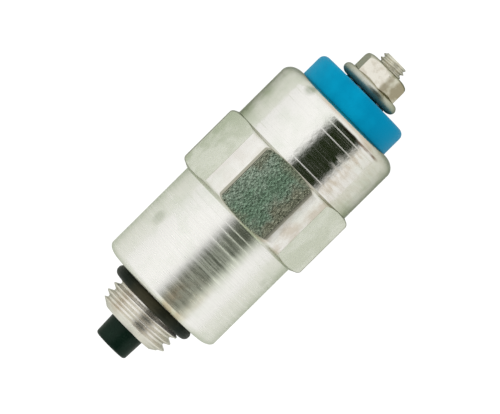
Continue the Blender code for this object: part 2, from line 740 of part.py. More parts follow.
def terminal_stud(axis):
    """A hexagon-headed stud, its head keyed in the cap's pocket so that it can't turn with the nut."""
    steel = finish("stud_steel", (0.60, 0.58, 0.54), 1.0, 0.32)
    length = stud_end - head_face
    shank = [
        (STUD_HEAD_THICKNESS / 2, 0),
        (STUD_HEAD_THICKNESS / 2, stud_radius),
        (length - STUD_CHAMFER, stud_radius),
        (length, stud_radius - STUD_CHAMFER),
        (length, 0),
    ]
    stud = place("terminal_stud", turned("terminal_stud", shank, SMALL_FACETS), steel, head_face, axis)
    head = hexagon_bar("stud_head", stud_head_half_flats, 0, STUD_HEAD_THICKNESS)
    combine(stud, "UNION", place("stud_head", head, steel, head_face, axis))
    return stud


def stud_o_ring(axis):
    rubber = finish("stud_seal_rubber", (0.02, 0.02, 0.02), 0.0, 0.5)
    shape = ring("stud_o_ring", STUD_RING_SECTION, stud_radius + STACK_GAP, SMALL_FACETS)
    middle = pocket_top + STACK_GAP + STUD_RING_SECTION / 2
    return place("stud_o_ring", shape, rubber, middle, axis)


def lock_washer(axis):
    """A stamped washer whose outer teeth are each twisted, so that their edges bite."""
    steel = finish("washer_steel", (0.22, 0.23, 0.24), 1.0, 0.35)
    band_radius = washer_bore_radius + WASHER_WIDTH * WASHER_RING_SHARE
    half = WASHER_THICKNESS / 2
    flat = half - TOOTH_TWIST
    tooth_steps = (
        (0.0, band_radius, 0),
        (0.16, washer_radius, -1),
        (0.58, washer_radius, 1),
        (0.74, band_radius, 0),
    )
    bm = bmesh.new()
    sections = []
    for tooth in range(WASHER_TEETH):
        for share, outer, twist in tooth_steps:
            angle = math.tau * (tooth + share) / WASHER_TEETH
            lean = half + twist * TOOTH_TWIST
            corners = (
                (half - flat, washer_bore_radius),
                (half + flat, washer_bore_radius),
                (half + flat, band_radius - STACK_GAP),
                (lean + flat, outer),
                (lean - flat, outer),
                (half - flat, band_radius - STACK_GAP),
            )
            sections.append(
                [bm.verts.new((x, r * math.cos(angle), r * math.sin(angle))) for x, r in corners]
            )
    for near, far in zip(sections, sections[1:] + sections[:1]):
        for side in range(len(near)):
            following = (side + 1) % len(near)
            bm.faces.new((near[side], near[following], far[following], far[side]))
    return place("lock_washer", mesh_from(bm, "lock_washer"), steel, washer_face, axis)


def terminal_nut(axis):
    """A hexagon nut forged with its own round-edged flange, its top corners turned off."""
    steel = finish("nut_steel", (0.66, 0.63, 0.57), 1.0, 0.3)
    edge_middle = (NUT_FLANGE_THICKNESS / 2, nut_flange_radius - NUT_FLANGE_EDGE)
    flange = [(0, nut_bore_radius), (0, nut_flange_radius - NUT_FLANGE_EDGE)]
    flange += round_stretch(edge_middle, NUT_FLANGE_THICKNESS / 2, NUT_FLANGE_EDGE, 180, 0, 8)[1:]
    flange += [
        (NUT_FLANGE_THICKNESS * 1.2, NUT_ACROSS_FLATS / 2),
        (NUT_FLANGE_THICKNESS * 1.2, nut_bore_radius),
    ]
    nut = place("terminal_nut", turned("terminal_nut", flange, COIL_FACETS), steel, nut_face, axis)

    envelope = [(NUT_FLANGE_THICKNESS / 2, nut_bore_radius), (NUT_FLANGE_THICKNESS / 2, nut_corner_radius)]
    top_corner = (NUT_HEIGHT - NUT_TOP_EDGE_AXIAL, nut_corner_radius - NUT_TOP_EDGE_RADIAL)
    envelope += round_stretch(top_corner, NUT_TOP_EDGE_AXIAL, NUT_TOP_EDGE_RADIAL, 90, 0, 4)
    envelope += [(NUT_HEIGHT, nut_bore_radius)]
    wrench_part = place("nut_hexagon", turned("nut_hexagon", envelope, COIL_FACETS), steel, nut_face, axis)
    bar = hexagon_bar(
        "nut_bar", NUT_ACROSS_FLATS / 2, 0, NUT_HEIGHT + STUD_PAST_NUT, math.radians(90 + NUT_REST_ANGLE)
    )
    combine(wrench_part, "INTERSECT", place("nut_bar", bar, steel, nut_face, axis))
    combine(nut, "UNION", wrench_part)
    return nut


clear_scene()
valve = valve_axis()
PIECES = (
    valve_body,
    body_o_ring,
    plunger,
    plunger_tip,
    return_spring,
    anti_stick_washer,
    guide_tube,
    guide_tube_o_ring,
    coil_bobbin,
    coil_winding,
    winding_tape,
    fixed_pole,
    pole_o_ring,
    flux_plate,
    lead_wire,
    lead_sleeve,
    earth_wire,
    terminal_cap,
    cap_gasket,
    terminal_stud,
    stud_o_ring,
    lock_washer,
    terminal_nut,
)
for make in PIECES:
    make(valve)
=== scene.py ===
import math
from functools import partial, reduce

import bmesh
import bpy
from mathutils import Matrix, Vector


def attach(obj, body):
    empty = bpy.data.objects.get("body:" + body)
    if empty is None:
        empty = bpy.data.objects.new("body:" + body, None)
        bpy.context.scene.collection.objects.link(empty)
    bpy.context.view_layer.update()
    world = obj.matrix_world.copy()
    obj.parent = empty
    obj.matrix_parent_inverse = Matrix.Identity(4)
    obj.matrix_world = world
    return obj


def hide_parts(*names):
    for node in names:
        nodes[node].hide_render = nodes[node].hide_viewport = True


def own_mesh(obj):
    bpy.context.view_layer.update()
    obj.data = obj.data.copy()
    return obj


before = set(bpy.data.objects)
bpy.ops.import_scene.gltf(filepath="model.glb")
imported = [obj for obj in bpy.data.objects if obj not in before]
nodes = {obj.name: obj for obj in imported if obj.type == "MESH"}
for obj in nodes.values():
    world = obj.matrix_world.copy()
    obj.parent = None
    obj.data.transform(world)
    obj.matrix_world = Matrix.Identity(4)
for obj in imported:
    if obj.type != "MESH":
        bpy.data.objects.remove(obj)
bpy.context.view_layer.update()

# Camera: it stands 0.8 m above the valve, which lies on one flat of its hexagon, and leans a little to the
# stud and to the side. The valve's axis crosses the picture from the lower left to the upper right.
AXIS_HEIGHT = 0.0127
METRES_PER_PIXEL = 0.0001664
PICTURE_WIDTH = 500
AXIS_IN_PICTURE = math.radians(44.72)
LENS_DISTANCE = 0.8
LEAN_TO_STUD = math.radians(1.1)
LEAN_TO_SIDE = math.radians(1.5)
PIXELS_FROM_CENTRE = (3.8, 4.0)
SENSOR_WIDTH = 36
middle_of_valve = Vector((0.00014, 0, AXIS_HEIGHT))
backwards = Vector((math.sin(LEAN_TO_STUD), math.sin(LEAN_TO_SIDE), 1)).normalized()
upwards = Vector((math.sin(AXIS_IN_PICTURE), math.cos(AXIS_IN_PICTURE), 0))
upwards = (upwards - backwards * upwards.dot(backwards)).normalized()
rightwards = upwards.cross(backwards)
shifted = PIXELS_FROM_CENTRE[0] * rightwards + PIXELS_FROM_CENTRE[1] * upwards
aim = middle_of_valve - METRES_PER_PIXEL * shifted
lens = bpy.data.cameras.new("lens")
lens.sensor_width = SENSOR_WIDTH
lens.lens = SENSOR_WIDTH * LENS_DISTANCE / (PICTURE_WIDTH * METRES_PER_PIXEL)
lens.clip_start = 0.1
lens.clip_end = 20
camera = bpy.data.objects.new("camera", lens)
camera.matrix_world = Matrix.Translation(aim + LENS_DISTANCE * backwards) @ Matrix(
    (rightwards, upwards, backwards)
).transposed().to_4x4()
bpy.context.scene.collection.objects.link(camera)
bpy.context.scene.camera = camera
bpy.context.scene.view_settings.view_transform = "Standard"

# Studio: an even white tent with one wide dark opening, from just past the zenith well down towards -Y.
# The plating mirrors that opening as the dark band along its cylinders. The floor is pale and plain.
ZENITH_LIGHT = 1.0
HORIZON_LIGHT = 0.88
FADE_HEIGHT = 0.75
OPENING = (math.radians(-7.2), math.radians(52.3))
OPENING_SOFTNESS = math.radians(10)
OPENING_HALF_LENGTH = 0.72
OPENING_END_SOFTNESS = 0.15
OPENING_UNEVENNESS = 0.10
OPENING_WAVES = 30.0
OPENING_COLOR = (0.012, 0.020, 0.005)
FLOOR_COLOR = (0.73, 0.75, 0.68)
FLOOR_GLOW = 0.86
FLOOR_SHADE = 0.30
FLOOR_GLOW_IN_METAL = 0.12
FLOOR_REACH = 3


def add(tree, kind, inputs=(), **settings):
    """One node of a tree. A value of its inputs is a plain value, or the output that feeds it."""
    node = tree.nodes.new(kind)
    for key, value in settings.items():
        setattr(node, key, value)
    for key, value in dict(inputs).items():
        if isinstance(value, bpy.types.NodeSocket):
            tree.links.new(value, node.inputs[key])
        else:
            node.inputs[key].default_value = value
    return node


def feed(kind, inputs, **settings):
    """One more node of the tree that its inputs come from."""
    inputs = dict(inputs)
    sources = [value for value in inputs.values() if isinstance(value, bpy.types.NodeSocket)]
    return add(sources[0].id_data, kind, inputs, **settings)


def reckon(operation, *values):
    """The result of one step of arithmetic."""
    return feed("ShaderNodeMath", enumerate(values), operation=operation).outputs[0]


def times(*values):
    """The product of some numbers."""
    return reduce(partial(reckon, "MULTIPLY"), values)


def plus(*values):
    """The sum of some numbers."""
    return reduce(partial(reckon, "ADD"), values)


def split(vector):
    """The three parts of a vector."""
    return feed("ShaderNodeSeparateXYZ", {0: vector}).outputs


def ranged(value, low, high, to_low, to_high, **settings):
    """A value carried from one range to another and kept inside it."""
    inputs = {"Value": value, "From Min": low, "From Max": high, "To Min": to_low, "To Max": to_high}
    return feed("ShaderNodeMapRange", inputs, **settings).outputs[0]


def between(value, low, high, soft):
    """1 inside the stretch from low to high, falling to 0 over a soft edge."""
    smooth = dict(interpolation_type="SMOOTHSTEP")
    rise = ranged(value, low - soft, low + soft, 0.0, 1.0, **smooth)
    return times(rise, ranged(value, high - soft, high + soft, 1.0, 0.0, **smooth))


def blend(share, first, second):
    """A colour between two, each a tuple or an output."""
    colors = [c if isinstance(c, bpy.types.NodeSocket) else (*c, 1) for c in (first, second)]
    inputs = {"Factor": share, "A": colors[0], "B": colors[1]}
    return feed("ShaderNodeMix", inputs, data_type="RGBA").outputs["Result"]


tent = bpy.data.worlds.new("white_tent")
tent.use_nodes = True
tree = tent.node_tree
tree.nodes.clear()
direction = add(tree, "ShaderNodeTexCoord").outputs["Generated"]
part = split(direction)
grain = feed("ShaderNodeTexNoise", {"Vector": direction, "Scale": OPENING_WAVES, "Detail": 3.0}).outputs[0]
shift = times(reckon("SUBTRACT", grain, 0.5), OPENING_UNEVENNESS)
towards_viewer = reckon("ARCTAN2", times(part["Y"], -1.0), part["Z"])
across = between(plus(towards_viewer, shift), *OPENING, OPENING_SOFTNESS)
along = between(part["X"], -OPENING_HALF_LENGTH, OPENING_HALF_LENGTH, OPENING_END_SOFTNESS)
path = add(tree, "ShaderNodeLightPath").outputs
opening = times(across, along, path["Is Glossy Ray"])
tent_color = blend(opening, (1, 1, 1), OPENING_COLOR)
strength = ranged(part["Z"], 0.0, FADE_HEIGHT, HORIZON_LIGHT, ZENITH_LIGHT)
lit = feed("ShaderNodeBackground", {"Color": tent_color, "Strength": strength})
white = add(tree, "ShaderNodeBackground", {"Color": (1, 1, 1, 1), "Strength": 1.0})
backdrop = {0: path["Is Camera Ray"], 1: lit.outputs[0], 2: white.outputs[0]}
tent_light = feed("ShaderNodeMixShader", backdrop)
feed("ShaderNodeOutputWorld", {"Surface": tent_light.outputs[0]})
bpy.context.scene.world = tent

paper = bpy.data.materials.new("pale_floor")
paper.use_nodes = True
tree = paper.node_tree
tree.nodes.clear()
plain = add(tree, "ShaderNodeBsdfDiffuse", {"Color": (*FLOOR_COLOR, 1)})
shaded = add(tree, "ShaderNodeBsdfDiffuse", {"Color": (*[FLOOR_SHADE] * 3, 1)})
glow = add(tree, "ShaderNodeEmission", {"Color": (1, 1, 1, 1), "Strength": FLOOR_GLOW})
bright = feed("ShaderNodeAddShader", {0: shaded.outputs[0], 1: glow.outputs[0]})
path = add(tree, "ShaderNodeLightPath").outputs
in_metal = reckon("MAXIMUM", path["Is Glossy Ray"], path["Is Transmission Ray"])
shown = reckon("MAXIMUM", path["Is Camera Ray"], times(in_metal, FLOOR_GLOW_IN_METAL))
look = feed("ShaderNodeMixShader", {0: shown, 1: plain.outputs[0], 2: bright.outputs[0]})
feed("ShaderNodeOutputMaterial", {"Surface": look.outputs[0]})
floor_mesh = bpy.data.meshes.new("floor")
floor_corners = [(x * FLOOR_REACH, y * FLOOR_REACH, 0) for x, y in ((-1, -1), (1, -1), (1, 1), (-1, 1))]
floor_mesh.from_pydata(floor_corners, [], [(0, 1, 2, 3)])
floor_mesh.materials.append(paper)
floor = bpy.data.objects.new("floor", floor_mesh)
bpy.context.scene.collection.objects.link(floor)

# Valve body: turned in one piece from 25.4 mm hexagon bar, its nose threaded M14 x 1.5, then zinc plated.
# The hexagon's flats keep the drawn bar's skin, and its corners are turned to a cylinder. The far end is
# rolled over the cap. Geometry Nodes turn the outline, hold it inside the bar and cut the thread.
ACROSS_FLATS = 0.0254
UPPER_RADIUS = 0.01245
LOWER_RADIUS = 0.01195
CORNER_RADIUS = 0.01365
BODY_BORE_RADIUS = 0.0105
CAP_BORE_RADIUS = 0.01115
RIM_RADIUS = 0.00975
NOSE_RADIUS = 0.00695
NOSE_PITCH = 0.0015
NOSE_THREAD_DEPTH = 0.00092
NOSE_THREAD_TURN = math.radians(208)
UNDERCUT_RADIUS = 0.0060
NOSE_BORE_RADIUS = 0.00463
NOSE_LIP_RADIUS = 0.00375
NOSE_FRONT = -0.02933
THREAD_END = -0.02417
NOSE_LEAD_LENGTH = 0.00125
NOSE_LEAD_DEPTH = 0.0019
SEAT = -0.02230
HEXAGON_START = -0.00360
HEXAGON_END = 0.00910
RIM_START = 0.01912
RIM_END = 0.02120
HEXAGON_ROUNDING = (0.0009, 0.0011)
HEXAGON_SLOPE = 2.1
BODY_SECTOR_FACETS = 60
CORNER_SHARE = 0.35
GROOVE_FLOOR = 0.125
GROOVE_FLANK = 0.3125
GROOVE_ROUNDING = 0.2
WELD = 0.000001
SKIN_MARGIN = 0.00002
EDGE_MARGIN = 0.0001
FLAT_UP = math.radians(90)
SHOULDER = (0.00135, 0.0024)
SEAT_RADIUS = 0.00855
UNDERCUT_EDGE = 0.0001
THREAD_RUNOUT = (0.00025, 0.0003)
TOOL_MARK = (0.00018, 0.000032)
LOWER_MARKS = (-0.00852, -0.00632, -0.00512)
UPPER_MARKS = (0.01042, 0.01688, 0.01870)
RIM_THICKNESS = 0.0009
CAP_LEDGE = 0.0180
BORE_FLOOR = SEAT + 0.0033
NOSE_LIP_END = NOSE_FRONT + 0.0013
# Dark tint of a metal's grazing edges: painted shade along its outline.
GRAZING_SHADE_TINT = (0.4, 0.42, 0.36)
# Grey-green of painted shade: the shaded floor as the plating would mirror it.
PAINTED_SHADE_GREEN = (0.58, 0.63, 0.50)
ZINC_RELIEF = 0.000007
CRYSTAL = 0.00044
WALL_WAVE = 0.0003
WALL_SHIFT = 0.0004
ZINC_SPOTS = (
    ((-0.0125, 0.0096, 0.0199), 0.0017, 0.75),
    ((0.0201, 0.0070, 0.0229), 0.0014, 0.9),
    ((0.0209, 0.0066, 0.0226), 0.0009, 0.8),
    ((-0.0080, -0.0103, 0.0188), 0.0012, 0.3),
)
NOSE_SPOTS = (-0.0284, -0.0271, -0.0254)


def arc(middle, half_length, half_height, start, end, steps):
    """Points of an ellipse's arc in the plane of the outline, from one angle in degrees to another."""
    turns = [math.radians(start + (end - start) * step / steps) for step in range(steps + 1)]
    return [(middle[0] + half_length * math.cos(t), middle[1] + half_height * math.sin(t)) for t in turns]


def straight(start, end, steps):
    """Points of a straight stretch of the outline, without its last one."""
    return [
        (start[0] + (end[0] - start[0]) * step / steps, start[1] + (end[1] - start[1]) * step / steps)
        for step in range(steps)
    ]


def tool_mark(station, radius):
    """A fine ring that the lathe's tool left on a cylinder."""
    width, depth = TOOL_MARK
    return [
        (station - width / 2, radius),
        (station - width / 6, radius - depth),
        (station + width / 6, radius - depth),
        (station + width / 2, radius),
    ]


def new_tree(name, stock, count, sizes):
    """A Geometry Nodes tree and what it is given: its stock, a count, its sizes and a material."""
    tree = bpy.data.node_groups.new(name, "GeometryNodeTree")
    labels = {stock: "Geometry", count: "Int", **dict.fromkeys(sizes, "Float"), "Material": "Material"}
    for label, kind in labels.items():
        tree.interface.new_socket(label, in_out="INPUT", socket_type="NodeSocket" + kind)
    tree.interface.new_socket("Piece", in_out="OUTPUT", socket_type="NodeSocketGeometry")
    return tree, add(tree, "NodeGroupInput").outputs


def hand_out(mesh, given):
    """The end of a tree: real mesh in the given material."""
    real = feed("GeometryNodeRealizeInstances", {0: mesh}).outputs[0]
    coated = feed("GeometryNodeSetMaterial", {"Geometry": real, "Material": given["Material"]})
    feed("NodeGroupOutput", {0: coated.outputs[0]})


def turned_from_bar():
    """The lathe's tree: it turns an outline of (station, bar's half width, radius) round the axis."""
    sizes = ("Corner Angle", "Bar Angle", "Axis Height", "Thread Start", "Thread End", "Crest Radius")
    sizes += ("Thread Depth", "Pitch", "Thread Angle")
    tree, given = new_tree("turned_from_bar", "Outline", "Facets", sizes)
    points = feed("GeometryNodeAttributeDomainSize", {0: given["Outline"]}).outputs["Point Count"]
    columns = plus(given["Facets"], 1.0)
    sheet = feed("GeometryNodeMeshGrid", {"Vertices X": points, "Vertices Y": columns})
    index = add(tree, "GeometryNodeInputIndex").outputs[0]
    row = reckon("FLOOR", reckon("DIVIDE", plus(index, 0.25), columns))
    column = reckon("SUBTRACT", index, times(row, columns))
    position = add(tree, "GeometryNodeInputPosition").outputs[0]
    core = add(tree, "GeometryNodeInputNamedAttribute", {"Name": "core"}, data_type="FLOAT").outputs[0]

    def sampled(value, kind):
        inputs = {"Geometry": given["Outline"], "Value": value, "Index": row}
        return feed("GeometryNodeSampleIndex", inputs, data_type=kind).outputs[0]

    drawn = split(sampled(position, "FLOAT_VECTOR"))
    round_core = sampled(core, "FLOAT")

    # The angle from the middle of the nearest flat, with the corner's boundary on a column of its own.
    sectors = reckon("DIVIDE", column, reckon("DIVIDE", given["Facets"], 6.0))
    sector = reckon("ROUND", sectors)
    off = reckon("SUBTRACT", sectors, sector)
    share = reckon("ABSOLUTE", off)
    flat_side = times(share, reckon("DIVIDE", given["Corner Angle"], CORNER_SHARE))
    on_corner = reckon("SUBTRACT", math.pi / 6, given["Corner Angle"])
    corner_rate = reckon("DIVIDE", on_corner, 0.5 - CORNER_SHARE)
    corner_side = reckon("SUBTRACT", math.pi / 6, times(reckon("SUBTRACT", 0.5, share), corner_rate))
    from_flat = reckon("MINIMUM", flat_side, corner_side)
    signed = times(from_flat, reckon("SIGN", off))
    turn = plus(times(sector, math.pi / 3), signed, given["Bar Angle"])
    bar = reckon("DIVIDE", drawn["Y"], reckon("COSINE", from_flat))
    held = reckon("MAXIMUM", reckon("MINIMUM", drawn["Z"], bar), round_core)

    # The thread: how far from the groove's middle this point lies, in pitches, and how deep the cut is.
    turns_on = reckon("DIVIDE", reckon("SUBTRACT", turn, given["Thread Angle"]), math.tau)
    pitches = reckon("SUBTRACT", reckon("DIVIDE", drawn["X"], given["Pitch"]), turns_on)
    from_groove = reckon("ABSOLUTE", reckon("WRAP", pitches, 0.5, -0.5))
    flank = reckon("DIVIDE", reckon("SUBTRACT", from_groove, GROOVE_FLOOR), GROOVE_FLANK)
    flank = reckon("SMOOTH_MAX", flank, 0.0, GROOVE_ROUNDING)
    flank = reckon("SMOOTH_MIN", flank, 1.0, GROOVE_ROUNDING)
    depth = times(reckon("SUBTRACT", 1.0, flank), given["Thread Depth"])
    cut = reckon("SUBTRACT", given["Crest Radius"], depth)
    after = reckon("GREATER_THAN", drawn["X"], given["Thread Start"])
    before = reckon("LESS_THAN", drawn["X"], given["Thread End"])
    floor_radius = reckon("SUBTRACT", given["Crest Radius"], given["Thread Depth"])
    outside = reckon("GREATER_THAN", drawn["Z"], floor_radius)
    threaded = times(after, before, outside)
    radius = reckon("MINIMUM", held, plus(cut, reckon("SUBTRACT", 1.0, threaded)))

    height = plus(times(radius, reckon("SINE", turn)), given["Axis Height"])
    side = times(radius, reckon("COSINE", turn))
    place = feed("ShaderNodeCombineXYZ", {0: drawn["X"], 1: side, 2: height})
    shaped = feed("GeometryNodeSetPosition", {"Geometry": sheet.outputs[0], "Position": place.outputs[0]})
    skin = reckon("GREATER_THAN", reckon("SUBTRACT", drawn["Z"], bar), SKIN_MARGIN)
    mark = {"Geometry": shaped.outputs[0], "Name": "bar_skin", "Value": skin}
    marked = feed("GeometryNodeStoreNamedAttribute", mark, data_type="FLOAT")
    closed = feed("GeometryNodeMergeByDistance", {"Geometry": marked.outputs[0], "Distance": WELD})
    hand_out(closed.outputs[0], given)
    return tree


def run_tree(tree, stock, name, material, **sizes):
    """The plain mesh object that a tree makes from its stock. A size's name stands for its socket's."""
    holder = bpy.data.objects.new(name + "_stock", stock)
    bpy.context.scene.collection.objects.link(holder)
    modifier = holder.modifiers.new("tree", "NODES")
    modifier.node_group = tree
    wanted = {key.replace("_", " ").title(): value for key, value in sizes.items()}
    wanted["Material"] = material
    for item in tree.interface.items_tree:
        if item.item_type == "SOCKET" and item.in_out == "INPUT" and item.name in wanted:
            modifier[item.identifier] = wanted[item.name]
    seen = holder.evaluated_get(bpy.context.evaluated_depsgraph_get())
    mesh = bpy.data.meshes.new_from_object(seen)
    mesh.name = name
    mesh.materials.clear()
    mesh.materials.append(material)
    mesh.polygons.foreach_set("material_index", [0] * len(mesh.polygons))
    holder.modifiers.remove(modifier)
    bpy.data.objects.remove(holder)
    piece = bpy.data.objects.new(name, mesh)
    bpy.context.scene.collection.objects.link(piece)
    return piece


def settle(piece, sharp_degrees, smooth_from=0.0, smooth_to=0.0):
    """Closes the mesh, turns its faces outwards and keeps crisp edges, except along a thread."""
    bm = bmesh.new()
    bm.from_mesh(piece.data)
    bmesh.ops.remove_doubles(bm, verts=bm.verts[:], dist=WELD)
    bmesh.ops.dissolve_degenerate(bm, edges=bm.edges[:], dist=WELD / 10)
    bmesh.ops.recalc_face_normals(bm, faces=bm.faces[:])
    limit = math.radians(sharp_degrees)
    for face in bm.faces:
        face.smooth = True
    for edge in bm.edges:
        middle = (edge.verts[0].co.x + edge.verts[1].co.x) / 2
        edge.smooth = smooth_from < middle < smooth_to or edge.calc_face_angle(0) < limit
    bm.to_mesh(piece.data)
    bm.free()


def outline_mesh(name, points, half_width=1.0):
    """Loose points from (station, radius), and where it matters the bar's half width and a round core."""
    rows = [tuple(point) + (half_width, 0.0)[len(point) - 2 :] for point in points]
    mesh = bpy.data.meshes.new(name)
    mesh.from_pydata([(station, bar, radius) for station, radius, bar, core in rows], [], [])
    cores = mesh.attributes.new("core", "FLOAT", "POINT")
    cores.data.foreach_set("value", [row[3] for row in rows])
    return mesh


def surface(name, color, metallic, roughness, mirror=0.5, edge=GRAZING_SHADE_TINT):
    """A new material, its shader, and the place on the piece in metres. A metal dulls to its edge tint, so
    a dark edge tint paints shade along its outline.
    """
    material = bpy.data.materials.new(name)
    material.use_nodes = True
    shader = material.node_tree.nodes["Principled BSDF"]
    plain = {"Base Color": (*color, 1), "Metallic": metallic, "Roughness": roughness}
    plain.update({"Specular IOR Level": mirror, "Specular Tint": (*edge, 1)})
    for key, value in plain.items():
        shader.inputs[key].default_value = value
    return material, shader, add(material.node_tree, "ShaderNodeTexCoord").outputs["Object"]


def finish(shader, height, depth, **looks):
    """Feeds a shader its looks, and the relief of its skin from a height and a depth in metres."""
    relief = {"Height": height, "Distance": depth, "Strength": 1.0}
    looks["normal"] = feed("ShaderNodeBump", relief).outputs[0]
    for key, value in looks.items():
        shader.id_data.links.new(value, shader.inputs[key.replace("_", " ").title()])


def noise(place, size, detail, stretch=None):
    """Soft random blotches of about the given size in metres, drawn out along some axes."""
    if stretch:
        place = feed("ShaderNodeMapping", {"Vector": place, "Scale": stretch}).outputs[0]
    inputs = {"Vector": place, "Scale": 1 / size, "Detail": detail, "Roughness": 0.55}
    return feed("ShaderNodeTexNoise", inputs).outputs[0]


def rings(place, width):
    """Random rings round the valve's axis, of about the given width in metres."""
    inputs = {"W": split(place)["X"], "Scale": 1 / width, "Detail": 3.0, "Roughness": 0.6}
    return feed("ShaderNodeTexNoise", inputs, noise_dimensions="1D").outputs[0]


def mixed(share, first, second):
    """A number between two, each a number or an output."""
    return feed("ShaderNodeMix", {"Factor": share, "A": first, "B": second}).outputs[0]


def noise_shift(place):
    """A small random shift that breaks up straight cell walls."""
    inputs = {"Vector": place, "Scale": 1 / WALL_WAVE, "Detail": 2.0}
    wave = feed("ShaderNodeTexNoise", inputs).outputs["Color"]
    centred = feed("ShaderNodeVectorMath", {0: wave, 1: (0.5, 0.5, 0.5)}, operation="SUBTRACT").outputs[0]
    return feed("ShaderNodeVectorMath", {0: centred, "Scale": WALL_SHIFT}, operation="SCALE").outputs[0]


def blot(place, centre, radius, share):
    """A soft round stain at one spot, full over the middle of its radius."""
    away = feed("ShaderNodeVectorMath", {0: place, 1: centre}, operation="DISTANCE").outputs["Value"]
    return ranged(away, 0.4 * radius, radius, share, 0.0)


